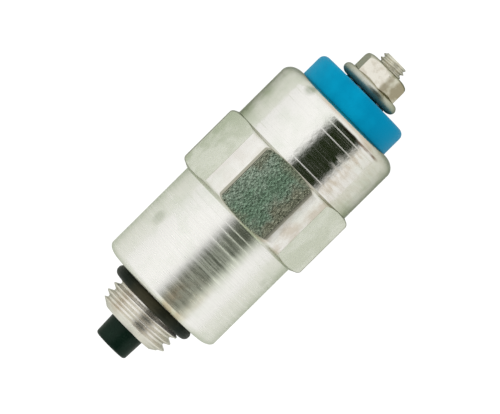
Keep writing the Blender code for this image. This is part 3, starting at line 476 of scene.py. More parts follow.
def zinc_plating():
    """Bright zinc over turning marks, duller towards the nose and stained. The bar's skin is grainy."""
    material, shader, place = surface("zinc_plating", (0.85, 0.84, 0.78), 1.0, 0.2)
    spot = split(place)
    mark = add(shader.id_data, "ShaderNodeAttribute", attribute_name="bar_skin").outputs["Fac"]
    skin = ranged(mark, 0.45, 0.55, 0.0, 1.0)
    edge = times(mark, reckon("SUBTRACT", 1.0, mark), 4.0)
    nose = ranged(spot["X"], SEAT - 0.0002, SEAT - 0.0001, 1.0, 0.0)
    lower = between(spot["X"], SEAT - 0.0001, HEXAGON_START + 0.0003, 0.0002)
    upper = ranged(spot["X"], HEXAGON_END - 0.0003, HEXAGON_END, 0.0, 1.0)
    near_side = ranged(spot["Z"], 0.0160, 0.0205, 0.0, 1.0)
    top = ranged(spot["Z"], 0.0235, 0.0245, 0.0, 1.0)
    fine = rings(place, 0.00014)
    broad = rings(place, 0.0007)
    cloud = noise(place, 0.0045, 3.0)
    stain = noise(place, 0.0024, 4.0, (0.8, 1.0, 1.0))
    smear = noise(place, 0.0016, 4.0, (2.2, 0.5, 0.5))
    speck = noise(place, 0.00030, 4.0)
    grit = noise(place, 0.0006, 3.0)
    warped = feed("ShaderNodeVectorMath", {0: place, 1: noise_shift(place)}, operation="ADD").outputs[0]
    crystal = feed("ShaderNodeTexVoronoi", {"Vector": warped, "Scale": 1 / CRYSTAL}).outputs
    tone = split(crystal["Color"])["X"]

    # Clean zinc, with greenish clouds, a painted grey-green shade low on the upper cylinder's sides, a pale
    # oxide, round spots and mud towards the nose.
    clean = blend(ranged(cloud, 0.46, 0.66, 0, 0.7), (0.90, 0.89, 0.845), (0.80, 0.82, 0.74))
    # Painted shade: grey-green growing down the upper cylinder's sides.
    lower_side_shade = times(ranged(spot["Z"], 0.0215, 0.0170, 0.0, 1.0), upper)
    lower_side_shade = times(lower_side_shade, ranged(spot["Z"], 0.0060, 0.0120, 0.25, 1.0), ranged(cloud, 0.36, 0.64, 0.0, 1.0))
    clean = blend(lower_side_shade, clean, PAINTED_SHADE_GREEN)
    oxide = times(between(spot["Y"], -0.0050, -0.0002, 0.0012), lower, near_side)
    clean = blend(oxide, clean, (0.83, 0.87, 0.72))
    spots = plus(*[blot(place, *at) for at in ZINC_SPOTS])
    clean = blend(times(spots, ranged(smear, 0.3, 0.6, 0.5, 1.0)), clean, (0.52, 0.55, 0.46))
    towards_nose = ranged(spot["X"], -0.0130, -0.0190, 0.0, 1.0)
    muddy = times(oxide, towards_nose, ranged(stain, 0.4, 0.6, 0.3, 1.0))
    clean = blend(muddy, clean, (0.66, 0.58, 0.42))

    # Brown stains on the turned corners, the nose and near the rim, and a dark line where the rim starts to
    # curl, brown grime with a painted dark reflection on it. Beside the cap the plating is warmer.
    near_rim = times(upper, ranged(between(spot["Y"], -0.0074, -0.0054, 0.0006), 0, 1, 0.5, 1.0))
    near_rim = times(near_rim, ranged(spot["Y"], -0.0010, -0.0055, 0.0, 1.0), near_side)
    corner = reckon("SUBTRACT", 1.0, reckon("MAXIMUM", reckon("MAXIMUM", lower, upper), nose))
    strip = times(corner, between(spot["Y"], -0.0062, -0.0050, 0.0004))
    corner = times(corner, ranged(spot["Y"], 0.0, -0.0050, 0.35, 1.0))
    # Along a strip of the nose the brown thins out: a painted highlight.
    painted_highlight_strip = between(spot["Y"], 0.0000, 0.0028, 0.0006)
    where = reckon("MAXIMUM", corner, times(nose, ranged(painted_highlight_strip, 0, 1, 0.7, 0.1)))
    brown = times(ranged(stain, 0.40, 0.62, 0.12, 0.75), where)
    brown = plus(brown, times(ranged(smear, 0.38, 0.64, 0.2, 0.9), near_rim))
    brown = plus(brown, *[blot(place, (station, 0.0043, 0.0178), 0.0013, 0.9) for station in NOSE_SPOTS])
    clean = blend(brown, clean, (0.60, 0.53, 0.42))
    # The dark line at the rim's curl: brown grime with a painted dark reflection.
    grime_and_dark_reflection = between(spot["X"], RIM_START + 0.0002, RIM_START + 0.0006, 0.0001)
    grime_and_dark_reflection = times(grime_and_dark_reflection, between(spot["Y"], -0.0088, -0.0010, 0.0008), ranged(smear, 0.35, 0.55, 0.3, 0.9))
    clean = blend(grime_and_dark_reflection, clean, (0.22, 0.15, 0.10))
    by_cap = times(ranged(spot["X"], 0.0200, 0.0206, 0.0, 1.0), near_side)
    by_cap = times(by_cap, between(spot["Y"], -0.0070, 0.0050, 0.0010), ranged(smear, 0.35, 0.6, 0.3, 1.0))
    clean = blend(by_cap, clean, (0.84, 0.68, 0.56))
    clean = blend(times(nose, 0.5), clean, (0.96, 0.91, 0.82))
    # Dark lines along the top flat's edges and along every boundary of the bar's skin: painted reflection
    # of the edges' small radii.
    clean = blend(ranged(spot["Z"], 0.02519, 0.02523, 0.0, 1.0), clean, (0.40, 0.39, 0.31))
    clean = blend(times(edge, 0.45), clean, (0.50, 0.50, 0.42))

    # The drawn bar's skin: pale on the side flats, with painted grey-green shade low on the +Y one, mottled
    # green on the top one, rusty along its sides.
    drawn = blend(ranged(speck, 0.36, 0.64, 0, 1), (0.92, 0.93, 0.85), (0.96, 0.96, 0.91))
    drawn = blend(ranged(cloud, 0.42, 0.58, 0.0, 0.75), drawn, (0.80, 0.82, 0.72))
    shaded = times(ranged(spot["Z"], 0.0225, 0.0145, 0.0, 0.8), ranged(spot["Y"], 0.0, 0.001, 0.0, 1.0))
    shaded = times(shaded, ranged(cloud, 0.40, 0.58, 0.35, 1.3))
    drawn = blend(shaded, drawn, PAINTED_SHADE_GREEN)
    # The top flat is painted darker and greener, darkest in a middle band: a painted reflection of the
    # opening. Its mottling and rust are its own.
    mottle = mixed(0.5, tone, ranged(speck, 0.36, 0.66, 0, 1))
    mottled_and_painted_dark = blend(mottle, (0.39, 0.55, 0.41), (0.72, 0.87, 0.70))
    uneven = plus(spot["Y"], ranged(stain, 0.3, 0.7, -0.0018, 0.0018))
    mottled_and_painted_dark = blend(times(between(uneven, -0.0024, 0.0018, 0.0016), 0.8), mottled_and_painted_dark, (0.29, 0.50, 0.33))
    rusty = ranged(uneven, -0.0022, -0.0044, 0.0, 0.75)
    rusty = reckon("MAXIMUM", rusty, ranged(uneven, 0.0036, 0.0052, 0.0, 0.6))
    from_middle = reckon("SUBTRACT", spot["X"], (HEXAGON_START + HEXAGON_END) / 2)
    ends = plus(reckon("ABSOLUTE", from_middle), ranged(stain, 0.3, 0.7, -0.0010, 0.0010))
    rusty = reckon("MAXIMUM", rusty, ranged(ends, 0.0046, 0.0060, 0.0, 0.6))
    mottled_and_painted_dark = blend(rusty, mottled_and_painted_dark, (0.42, 0.39, 0.26))
    drawn = blend(times(top, 0.95), drawn, mottled_and_painted_dark)

    # A dull film of oxide over the metal: in rings and smears on the lower part, in thin rings above.
    film = times(ranged(broad, 0.36, 0.66, 0.0, 0.28), ranged(towards_nose, 0, 1, 1, 0.35))
    film = plus(film, ranged(smear, 0.40, 0.68, 0.06, 0.16), times(towards_nose, 0.12))
    film = times(film, ranged(spot["X"], HEXAGON_START - 0.005, HEXAGON_START - 0.001, 1.0, 0.25))
    film = plus(film, times(between(spot["Y"], -0.0074, -0.0040, 0.0010), 0.4))
    film = times(film, lower)
    thin = times(ranged(fine, 0.58, 0.74, 0.0, 0.18), ranged(smear, 0.35, 0.6, 0.1, 1.0))
    rubbed = times(between(spot["X"], 0.0139, 0.0157, 0.0008), upper)
    rubbed = times(rubbed, between(spot["Y"], -0.0064, -0.0040, 0.0007))
    thin = plus(thin, times(rubbed, ranged(smear, 0.42, 0.56, 0.0, 0.55)))
    from_strip = reckon("ABSOLUTE", plus(spot["Y"], 0.0010))
    nose_film = times(nose, ranged(from_strip, 0.0005, 0.0015, 0.16, 0.40))
    bare = plus(thin, film, nose_film, times(strip, 0.5))
    skin_film = ranged(mixed(0.5, speck, tone), 0.46, 0.80, 0.02, 0.20)
    skin_film = times(skin_film, ranged(top, 0, 1, 0.4, 1.0))

    upper_gloss = ranged(smear, 0.3, 0.7, 0.09, 0.18)
    lower_gloss = ranged(smear, 0.3, 0.7, 0.19, 0.29)
    gloss = mixed(nose, mixed(lower, upper_gloss, lower_gloss), 0.24)
    ridges = plus(times(fine, 0.10), times(broad, 0.3), times(grit, mixed(lower, 1.3, 0.6)))
    ridges = times(ridges, mixed(nose, 1.0, 0.12))
    ridges = plus(ridges, times(noise(place, 0.0010, 2.0), times(upper, 4.0)))
    grain = plus(times(crystal["Distance"], 3.6), times(speck, 2.0))
    finish(
        shader,
        mixed(skin, ridges, mixed(top, times(speck, 0.6), grain)),
        ZINC_RELIEF,
        base_color=blend(skin, clean, drawn),
        metallic=reckon("SUBTRACT", 1.0, mixed(skin, bare, skin_film)),
        roughness=mixed(skin, gloss, ranged(speck, 0.3, 0.7, 0.20, 0.34)),
        # Grazing edges tinted dark, grey-green on the upper part: painted shade along the outline.
        specular_tint=blend(lower, GRAZING_SHADE_TINT, (0.60, 0.65, 0.55)),
    )
    return material


lead_start = (NOSE_FRONT, NOSE_RADIUS - NOSE_LEAD_DEPTH)
lead_end = (NOSE_FRONT + NOSE_LEAD_LENGTH, NOSE_RADIUS)
runout_start = (THREAD_END - THREAD_RUNOUT[0], NOSE_RADIUS)
runout_end = (THREAD_END, UNDERCUT_RADIUS + THREAD_RUNOUT[1])
body_outline = straight((NOSE_FRONT, NOSE_LIP_RADIUS), lead_start, 4)
body_outline += straight(lead_start, lead_end, 18)
body_outline += straight(lead_end, runout_start, 72)
body_outline += straight(runout_start, runout_end, 4)
body_outline += [
    runout_end,
    (THREAD_END + UNDERCUT_EDGE / 2, UNDERCUT_RADIUS),
    (SEAT - UNDERCUT_EDGE, UNDERCUT_RADIUS),
    (SEAT, UNDERCUT_RADIUS + UNDERCUT_EDGE),
    (SEAT, SEAT_RADIUS),
]
body_outline += arc((SEAT + SHOULDER[0], LOWER_RADIUS - SHOULDER[1]), *SHOULDER, 180, 90, 14)
for station in LOWER_MARKS:
    body_outline += tool_mark(station, LOWER_RADIUS)
round_length, round_height = HEXAGON_ROUNDING
round_foot = CORNER_RADIUS - round_height / 2
lower_foot = HEXAGON_START + (round_foot - LOWER_RADIUS) / HEXAGON_SLOPE
upper_foot = HEXAGON_END - (round_foot - UPPER_RADIUS) / HEXAGON_SLOPE
reach = round_length * math.cos(math.radians(30))
round_middle = CORNER_RADIUS - round_height
body_outline += straight((HEXAGON_START, LOWER_RADIUS), (lower_foot, round_foot), 6)
body_outline += arc((lower_foot + reach, round_middle), round_length, round_height, 150, 90, 12)
body_outline += arc((upper_foot - reach, round_middle), round_length, round_height, 90, 30, 12)
body_outline += straight((upper_foot, round_foot), (HEXAGON_END, UPPER_RADIUS), 4)[1:]
body_outline += [(HEXAGON_END, UPPER_RADIUS)]
for station in UPPER_MARKS:
    body_outline += tool_mark(station, UPPER_RADIUS)
body_outline += arc((RIM_START, RIM_RADIUS), RIM_END - RIM_START, UPPER_RADIUS - RIM_RADIUS, 90, 0, 16)
body_outline += [
    (RIM_END - RIM_THICKNESS, RIM_RADIUS),
    (RIM_END - RIM_THICKNESS, CAP_BORE_RADIUS),
    (CAP_LEDGE, CAP_BORE_RADIUS),
    (CAP_LEDGE, BODY_BORE_RADIUS),
    (BORE_FLOOR, BODY_BORE_RADIUS),
    (BORE_FLOOR, NOSE_BORE_RADIUS),
    (NOSE_LIP_END, NOSE_BORE_RADIUS),
    (NOSE_LIP_END, NOSE_LIP_RADIUS),
    (NOSE_FRONT, NOSE_LIP_RADIUS),
]
lathe = turned_from_bar()
valve_body = run_tree(
    lathe,
    outline_mesh("body_outline", body_outline, ACROSS_FLATS / 2),
    "plated_body",
    zinc_plating(),
    facets=6 * BODY_SECTOR_FACETS,
    corner_angle=math.acos(ACROSS_FLATS / 2 / CORNER_RADIUS),
    bar_angle=FLAT_UP,
    axis_height=AXIS_HEIGHT,
    thread_start=NOSE_FRONT - 0.001,
    thread_end=THREAD_END + 0.000005,
    crest_radius=NOSE_RADIUS,
    thread_depth=NOSE_THREAD_DEPTH,
    pitch=NOSE_PITCH,
    thread_angle=NOSE_THREAD_TURN,
)
settle(valve_body, 14, NOSE_FRONT + EDGE_MARGIN, THREAD_END - EDGE_MARGIN)
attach(valve_body, "housing")
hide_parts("valve_body")

# Body O-ring: black rubber round the undercut, pressed against the seat when the valve is screwed in.
# It is moulded in two halves, which leaves a fine line round its outside.
BODY_RING_SECTION = 0.0020
BODY_RING_MIDDLE = SEAT - 0.00103
BODY_RING_INNER = 0.00628
BODY_RING_LINE = (0.00006, 0.00003)
FINE_RELIEF = 0.000004
SMALL_CORNER_ANGLE = math.radians(21)


def rubber(name, color, roughness, middle_color=None):
    """Rubber with a little dust and wear; with a middle colour, browner across the middle, and darker
    towards both sides as painted shade.
    """
    material, shader, place = surface(name, color, 0.0, roughness, 0.15, (0.9, 1.0, 0.9))
    dust = noise(place, 0.00025, 3.0)
    cloud = noise(place, 0.002, 2.0)
    marked_tone = tuple(1.6 * c + 0.006 for c in color)
    share = times(ranged(cloud, 0.4, 0.7, 0.1, 1.0), ranged(dust, 0.45, 0.7, 0, 1))
    tone = blend(share, color, marked_tone)
    if middle_color:
        across = split(place)["Y"]
        tone = blend(between(across, -0.0010, 0.0038, 0.0014), tone, middle_color)
        # Darker towards both sides: painted shade.
        ends = ranged(reckon("ABSOLUTE", across), 0.0044, 0.0060, 0.0, 1.0)
        tone = blend(ends, tone, (0.003, 0.008, 0.004))
    gloss = ranged(dust, 0.3, 0.7, roughness - 0.08, roughness + 0.12)
    finish(shader, dust, FINE_RELIEF, base_color=tone, roughness=gloss)
    return material


ring_middle = (BODY_RING_MIDDLE, BODY_RING_INNER + BODY_RING_SECTION / 2)
ring_outline = arc(ring_middle, BODY_RING_SECTION / 2, BODY_RING_SECTION / 2, -90, 80, 22)
for side in (BODY_RING_LINE[0], -BODY_RING_LINE[0]):
    line_radius = BODY_RING_INNER + BODY_RING_SECTION - BODY_RING_LINE[1]
    ring_outline.append((BODY_RING_MIDDLE + side, line_radius))
ring_outline += arc(ring_middle, BODY_RING_SECTION / 2, BODY_RING_SECTION / 2, 100, 270, 22)
no_thread = dict(
    axis_height=AXIS_HEIGHT,
    corner_angle=SMALL_CORNER_ANGLE,
    thread_start=1.0,
    thread_end=1.0,
    crest_radius=1.0,
    thread_depth=0.001,
    pitch=0.001,
)
body_ring = run_tree(
    lathe,
    outline_mesh("ring_outline", ring_outline),
    "rubber_o_ring",
    rubber("o_ring_rubber", (0.016, 0.018, 0.010), 0.42, (0.040, 0.036, 0.019)),
    facets=144,
    **no_thread,
)
settle(body_ring, 60)
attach(body_ring, "housing")
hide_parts("body_o_ring")

# Plunger and tip: a turned iron plunger slides in the nose, and the rubber tip moulded into it shuts the
# port. The tip is round with a softened edge, and its stem holds it. Both move with the plunger.
TIP_END = -0.0336
TIP_BASE = -0.02683
TIP_RADIUS = 0.00345
TIP_END_RADIUS = 0.0033
TIP_EDGE = 0.00055
TIP_STEM_RADIUS = 0.0018
TIP_STEM_END = -0.02363


def turned_metal(name, color, roughness, ring_width=0.00012):
    """Metal with the fine rings of the lathe's tool, a little uneven in tone."""
    material, shader, place = surface(name, color, 1.0, roughness)
    fine = rings(place, ring_width)
    darker = tuple(0.78 * c for c in color)
    tone = blend(ranged(noise(place, 0.0015, 3.0), 0.35, 0.7, 0, 1), color, darker)
    gloss = ranged(fine, 0.3, 0.7, roughness - 0.06, roughness + 0.08)
    finish(shader, fine, FINE_RELIEF, base_color=tone, roughness=gloss)
    return material


def dress(node, material):
    """Gives a solid that stays its finish."""
    nodes[node].material_slots[0].material = material


tip_outline = [(TIP_END, 0.0)]
tip_outline += arc((TIP_END + TIP_EDGE, TIP_END_RADIUS - TIP_EDGE), TIP_EDGE, TIP_EDGE, 180, 92, 8)
tip_side = (TIP_END + TIP_EDGE + EDGE_MARGIN, TIP_END_RADIUS)
tip_outline += straight(tip_side, (NOSE_FRONT, TIP_RADIUS), 6)
tip_outline += [
    (NOSE_FRONT, TIP_RADIUS),
    (TIP_BASE, TIP_RADIUS),
    (TIP_BASE, TIP_STEM_RADIUS),
    (TIP_STEM_END, TIP_STEM_RADIUS),
    (TIP_STEM_END, 0.0),
]
tip = run_tree(
    lathe,
    outline_mesh("tip_outline", tip_outline),
    "rubber_tip",
    rubber("tip_rubber", (0.002, 0.013, 0.007), 0.34),
    facets=96,
    **no_thread,
)
settle(tip, 40)
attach(tip, "plunger")
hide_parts("plunger_tip")
dress("plunger", turned_metal("plunger_iron", (0.52, 0.52, 0.50), 0.30))

# Return spring: drawn steel wire, wound with both end turns closed, between the plunger and the fixed pole.
# It shortens as the coil pulls the plunger in.
SPRING_START = -0.01833
SPRING_END = -0.00203
SPRING_WIRE = 0.0006
SPRING_MIDDLE_RADIUS = 0.002325
SPRING_TURNS = 9
SPRING_CLOSED_TURN = 0.00069
SPRING_POINTS = 216
WIRE_FACETS = 10


def wound_spring():
    """The coiling machine's tree: a wire whose end turns lie close, and whose others open evenly."""
    sizes = ("Wire", "Middle Radius", "Start", "End", "Closed Turn", "Axis Height")
    tree, given = new_tree("wound_spring", "Wire Ends", "Turns", sizes)
    points = add(tree, "GeometryNodeMeshLine", {"Count": SPRING_POINTS + 1})
    share = reckon("DIVIDE", add(tree, "GeometryNodeInputIndex").outputs[0], float(SPRING_POINTS))
    turn = times(share, given["Turns"])
    open_turns = reckon("SUBTRACT", given["Turns"], 2.0)
    opened = reckon("MINIMUM", reckon("MAXIMUM", reckon("SUBTRACT", turn, 1.0), 0.0), open_turns)
    length = reckon("SUBTRACT", reckon("SUBTRACT", given["End"], given["Start"]), given["Wire"])
    open_length = reckon("SUBTRACT", length, times(given["Closed Turn"], 2.0))
    closed_part = times(reckon("SUBTRACT", turn, opened), given["Closed Turn"])
    open_part = times(opened, reckon("DIVIDE", open_length, open_turns))
    from_start = plus(closed_part, open_part, times(given["Wire"], 0.5))
    angle = times(turn, math.tau)
    side = times(reckon("COSINE", angle), given["Middle Radius"])
    height = times(reckon("SINE", angle), given["Middle Radius"])
    place = {0: plus(given["Start"], from_start), 1: side, 2: plus(height, given["Axis Height"])}
    spot = feed("ShaderNodeCombineXYZ", place)
    path = feed("GeometryNodeSetPosition", {"Geometry": points.outputs[0], "Position": spot.outputs[0]})
    line = feed("GeometryNodeMeshToCurve", {0: path.outputs[0]})
    radius = times(given["Wire"], 0.5)
    section = feed("GeometryNodeCurvePrimitiveCircle", {"Resolution": WIRE_FACETS, "Radius": radius})
    swept = {"Curve": line.outputs[0], "Profile Curve": section.outputs[0], "Fill Caps": True}
    hand_out(feed("GeometryNodeCurveToMesh", swept).outputs[0], given)
    return tree


spring = run_tree(
    wound_spring(),
    bpy.data.meshes.new("spring_start"),
    "wound_return_spring",
    turned_metal("spring_wire", (0.47, 0.46, 0.44), 0.28, 0.0003),
    turns=SPRING_TURNS,
    wire=SPRING_WIRE,
    middle_radius=SPRING_MIDDLE_RADIUS,
    start=SPRING_START,
    end=SPRING_END,
    closed_turn=SPRING_CLOSED_TURN,
    axis_height=AXIS_HEIGHT,
)
settle(spring, 60)
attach(spring, "housing")
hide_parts("return_spring")
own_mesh(spring)

# Magnet: a copper coil on a nylon reel round a brass guide tube, with an iron pole and plate that close
# the magnetic path, all sealed inside the body by small O-rings. Nothing of it shows from outside.


def moulding(name, color, paler, roughness):
    """A moulded plastic: a faint flow of paler colour, darker towards -Y as painted shade, and a fine
    grain.
    """
    material, shader, place = surface(name, color, 0.0, roughness, 0.08, color)
    # Darker towards -Y: painted shade.
    flow_and_shade = plus(noise(place, 0.004, 3.0), ranged(split(place)["Y"], -0.0030, 0.0010, -0.20, 0.12))
    grain = noise(place, 0.00022, 3.0)
    tone = blend(ranged(flow_and_shade, 0.35, 0.7, 0, 1), color, paler)
    gloss = ranged(grain, 0.3, 0.7, roughness - 0.06, roughness + 0.10)
    finish(shader, grain, FINE_RELIEF, base_color=tone, roughness=gloss)
    return material


iron = turned_metal("soft_iron", (0.50, 0.50, 0.49), 0.32)
brass = turned_metal("turned_brass", (0.78, 0.58, 0.28), 0.26)
copper = turned_metal("enamelled_copper", (0.52, 0.20, 0.07), 0.30, 0.00035)
seal = rubber("small_seal_rubber", (0.025, 0.022, 0.020), 0.45)
reel_nylon = moulding("natural_nylon", (0.74, 0.70, 0.58), (0.78, 0.74, 0.63), 0.40)
dress("fixed_pole", iron)
dress("flux_plate", iron)
dress("guide_tube", brass)
dress("anti_stick_washer", brass)
dress("coil_bobbin", reel_nylon)
dress("coil_winding", copper)
dress("lead_wire", copper)
dress("earth_wire", copper)
dress("winding_tape", moulding("amber_tape", (0.72, 0.55, 0.12), (0.76, 0.60, 0.18), 0.35))
dress("lead_sleeve", moulding("red_sleeve", (0.60, 0.10, 0.08), (0.64, 0.14, 0.11), 0.45))
dress("guide_tube_o_ring", seal)
dress("pole_o_ring", seal)
dress("stud_o_ring", seal)
dress("cap_gasket", seal)

# Cap: moulded blue nylon with a satin skin, held by the rolled rim. A hexagonal pocket inside it keys
# the stud's head, and a skirt reaches down to the gasket.
CAP_TOP = 0.0260
CAP_RADIUS = 0.0095
CAP_EDGE = 0.0012
CAP_SHOULDER = 0.02035
CAP_FLANGE_RADIUS = 0.0110
CAP_FLANGE_FACE = 0.01815
CAP_SKIRT_RADIUS = 0.01035
CAP_SKIRT_INNER = 0.00845
CAP_SKIRT_END = 0.01475
STUD_HEAD_FACE = 0.01705
STUD_HEAD_TOP = 0.01905
STUD_HEAD_HALF_FLATS = 0.0039
STUD_HEAD_CORNER = 0.0045
CAP_HOLE_RADIUS = 0.0026
STUD_SEAL_POCKET = 0.00355
STUD_SEAL_TOP = 0.02025
POCKET_GAP = 0.0001
pocket_bar = STUD_HEAD_HALF_FLATS + POCKET_GAP
pocket_corner = STUD_HEAD_CORNER + 2 * POCKET_GAP
cap_outline = [(CAP_TOP, CAP_HOLE_RADIUS), (CAP_TOP, CAP_RADIUS - 0.002)]
cap_outline += arc((CAP_TOP - CAP_EDGE, CAP_RADIUS - CAP_EDGE), CAP_EDGE, CAP_EDGE, 0, 90, 10)
cap_outline += [
    (RIM_END, CAP_RADIUS),
    (CAP_SHOULDER, CAP_RADIUS),
    (CAP_SHOULDER, CAP_FLANGE_RADIUS),
    (CAP_FLANGE_FACE, CAP_FLANGE_RADIUS),
    (CAP_FLANGE_FACE, CAP_SKIRT_RADIUS),
    (CAP_SKIRT_END, CAP_SKIRT_RADIUS),
    (CAP_SKIRT_END, CAP_SKIRT_INNER),
    (STUD_HEAD_FACE, CAP_SKIRT_INNER),
    (STUD_HEAD_FACE, pocket_corner, pocket_bar),
    (STUD_HEAD_TOP + POCKET_GAP, pocket_corner, pocket_bar),
    (STUD_HEAD_TOP + POCKET_GAP, STUD_SEAL_POCKET),
    (STUD_SEAL_TOP, STUD_SEAL_POCKET),
    (STUD_SEAL_TOP, CAP_HOLE_RADIUS),
    (CAP_TOP, CAP_HOLE_RADIUS),
]
cap = run_tree(
    lathe,
    outline_mesh("cap_outline", cap_outline),
    "moulded_cap",
    moulding("blue_moulding", (0.001, 0.262, 0.470), (0.002, 0.335, 0.570), 0.42),
    facets=240,
    bar_angle=FLAT_UP,
    **no_thread,
)
settle(cap, 30)
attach(cap, "housing")
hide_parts("terminal_cap")

# Stud: a plated steel M5 x 0.8 screw, its hexagonal head keyed in the cap and its thread rolled.
# The nut and the toothed washer hold the engine's lead on it.
STUD_RADIUS = 0.00245
STUD_END = 0.0336
STUD_THREAD_START = 0.0212
STUD_PITCH = 0.0008
STUD_THREAD_DEPTH = 0.00042
STUD_THREAD_TURN = math.radians(40)
STUD_CHAMFER = 0.0004
STUD_HEAD_CHAMFER = (0.0002, 0.0003)
stud_outline = [
    (STUD_HEAD_FACE, 0.0),
    (STUD_HEAD_FACE, STUD_HEAD_CORNER - STUD_HEAD_CHAMFER[1], STUD_HEAD_HALF_FLATS),
    (STUD_HEAD_FACE + STUD_HEAD_CHAMFER[0], STUD_HEAD_CORNER, STUD_HEAD_HALF_FLATS),
    (STUD_HEAD_TOP, STUD_HEAD_CORNER, STUD_HEAD_HALF_FLATS),
    (STUD_HEAD_TOP, STUD_RADIUS),
]
stud_outline += straight((STUD_THREAD_START, STUD_RADIUS), (STUD_END - STUD_CHAMFER, STUD_RADIUS), 200)
stud_outline += straight((STUD_END - STUD_CHAMFER, STUD_RADIUS), (STUD_END, STUD_RADIUS - STUD_CHAMFER), 6)
stud_outline += [(STUD_END, STUD_RADIUS - STUD_CHAMFER), (STUD_END, 0.0)]


def terminal_plating(name, color, roughness, stained, dull=0.0, edge=GRAZING_SHADE_TINT, edge_shade=0.0):
    """Plated steel, handled, stained brown on its lower side, with painted shade where it faces the cap, a
    painted dark reflection on the flange's bead, and painted shade along its outline, as strong as asked.
    """
    material, shader, place = surface(name, color, 1.0, roughness, 0.5, edge)
    spot = split(place)
    cloud = noise(place, 0.0014, 4.0)
    grit = noise(place, 0.00025, 3.0)
    marked_tone = blend(ranged(cloud, 0.50, 0.68, 0, 0.4), color, (0.48, 0.42, 0.31))
    grimy = ranged(noise(place, 0.0028, 3.0), 0.40, 0.58, 0, 1)
    grimy = blend(grimy, (0.70, 0.68, 0.55), (0.38, 0.34, 0.23))
    marked_tone = blend(ranged(spot["Y"], -0.0006, -0.0012, 0.0, stained), marked_tone, grimy)
    line = times(between(spot["Y"], -0.0018, -0.0012, 0.0002), 0.55 * stained)
    marked_tone = blend(line, marked_tone, (0.40, 0.36, 0.27))
    # A dark green patch across the flange's bead: a painted reflection, wider than the bead's own.
    bead = times(between(spot["X"], 0.0266, 0.0277, 0.0003), 0.8 * stained)
    bead = times(bead, between(spot["Y"], -0.0023, -0.0005, 0.0004))
    marked_tone = blend(bead, marked_tone, (0.24, 0.27, 0.23))
    # Darker towards both sides of the axis: painted shade along the outline.
    painted_edge_shade = ranged(reckon("ABSOLUTE", spot["Y"]), 0.0013, 0.0022, 0.0, edge_shade)
    marked_tone = blend(painted_edge_shade, marked_tone, (0.40, 0.40, 0.34))
    # Painted shade on the flange's underside, where it faces the cap: dark teal and duller.
    underside_shade = ranged(spot["X"], 0.0267, 0.0281, 0.9, 0.0)
    gloss = ranged(grit, 0.3, 0.7, roughness - 0.05, roughness + 0.10)
    bright = ranged(grit, 0.3, 0.7, 1.0 - dull, 1.0 - 1.5 * dull)
    finish(
        shader,
        plus(grit, times(cloud, 4.0)),
        2 * FINE_RELIEF,
        base_color=blend(underside_shade, marked_tone, (0.12, 0.21, 0.18)),
        roughness=mixed(underside_shade, gloss, 0.50),
        metallic=mixed(underside_shade, bright, 0.6 * (1.0 - dull)),
    )
    return material


stud_thread = dict(
    no_thread,
    thread_start=STUD_THREAD_START,
    crest_radius=STUD_RADIUS,
    thread_depth=STUD_THREAD_DEPTH,
    pitch=STUD_PITCH,
    thread_angle=STUD_THREAD_TURN,
)
# The stud gets a dark edge tint and darker sides: painted shade along its outline.
stud = run_tree(
    lathe,
    outline_mesh("stud_outline", stud_outline),
    "threaded_stud",
    terminal_plating("stud_steel", (0.78, 0.76, 0.64), 0.32, 0.15, 0.38, (0.15, 0.15, 0.12), 0.6),
    facets=96,
    bar_angle=FLAT_UP,
    **stud_thread,
)
settle(stud, 30, STUD_THREAD_START, STUD_END - EDGE_MARGIN)
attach(stud, "housing")
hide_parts("terminal_stud")

# Toothed washer: stamped from spring steel and darkened, its outer teeth twisted so that their edges
# bite into the cap and the nut. Geometry Nodes repeat one tooth with its stretch of the band.
WASHER_MIDDLE = 0.02623
WASHER_BORE_RADIUS = 0.0026
WASHER_BAND_RADIUS = 0.003365
WASHER_RADIUS = 0.0043
WASHER_TEETH = 12
WASHER_STOCK = 0.0002
TOOTH_STEPS = 12
TOOTH_SHARE = (0.12, 0.62)
TOOTH_TWIST = 0.00007
TOOTH_ROOT_RADIUS = WASHER_BAND_RADIUS - 0.0001


def toothed_ring():
    """The press tool's tree: it repeats one tooth evenly round the valve's axis."""
    tree, given = new_tree("toothed_ring", "Tooth", "Teeth", ("Axis Height",))
    centres = feed("GeometryNodeMeshLine", {"Count": given["Teeth"], "Offset": (0, 0, 0)})
    step = reckon("DIVIDE", math.tau, given["Teeth"])
    angle = times(add(tree, "GeometryNodeInputIndex").outputs[0], step)
    turned = feed("ShaderNodeCombineXYZ", {0: angle})
    placed = {"Points": centres.outputs[0], "Instance": given["Tooth"], "Rotation": turned.outputs[0]}
    teeth = feed("GeometryNodeInstanceOnPoints", placed)
    real = feed("GeometryNodeRealizeInstances", {0: teeth.outputs[0]})
    lift = feed("ShaderNodeCombineXYZ", {2: given["Axis Height"]})
    lifted = feed("GeometryNodeTransform", {"Geometry": real.outputs[0], "Translation": lift.outputs[0]})
    joined = feed("GeometryNodeMergeByDistance", {"Geometry": lifted.outputs[0], "Distance": 2 * WELD})
    hand_out(joined.outputs[0], given)
    return tree


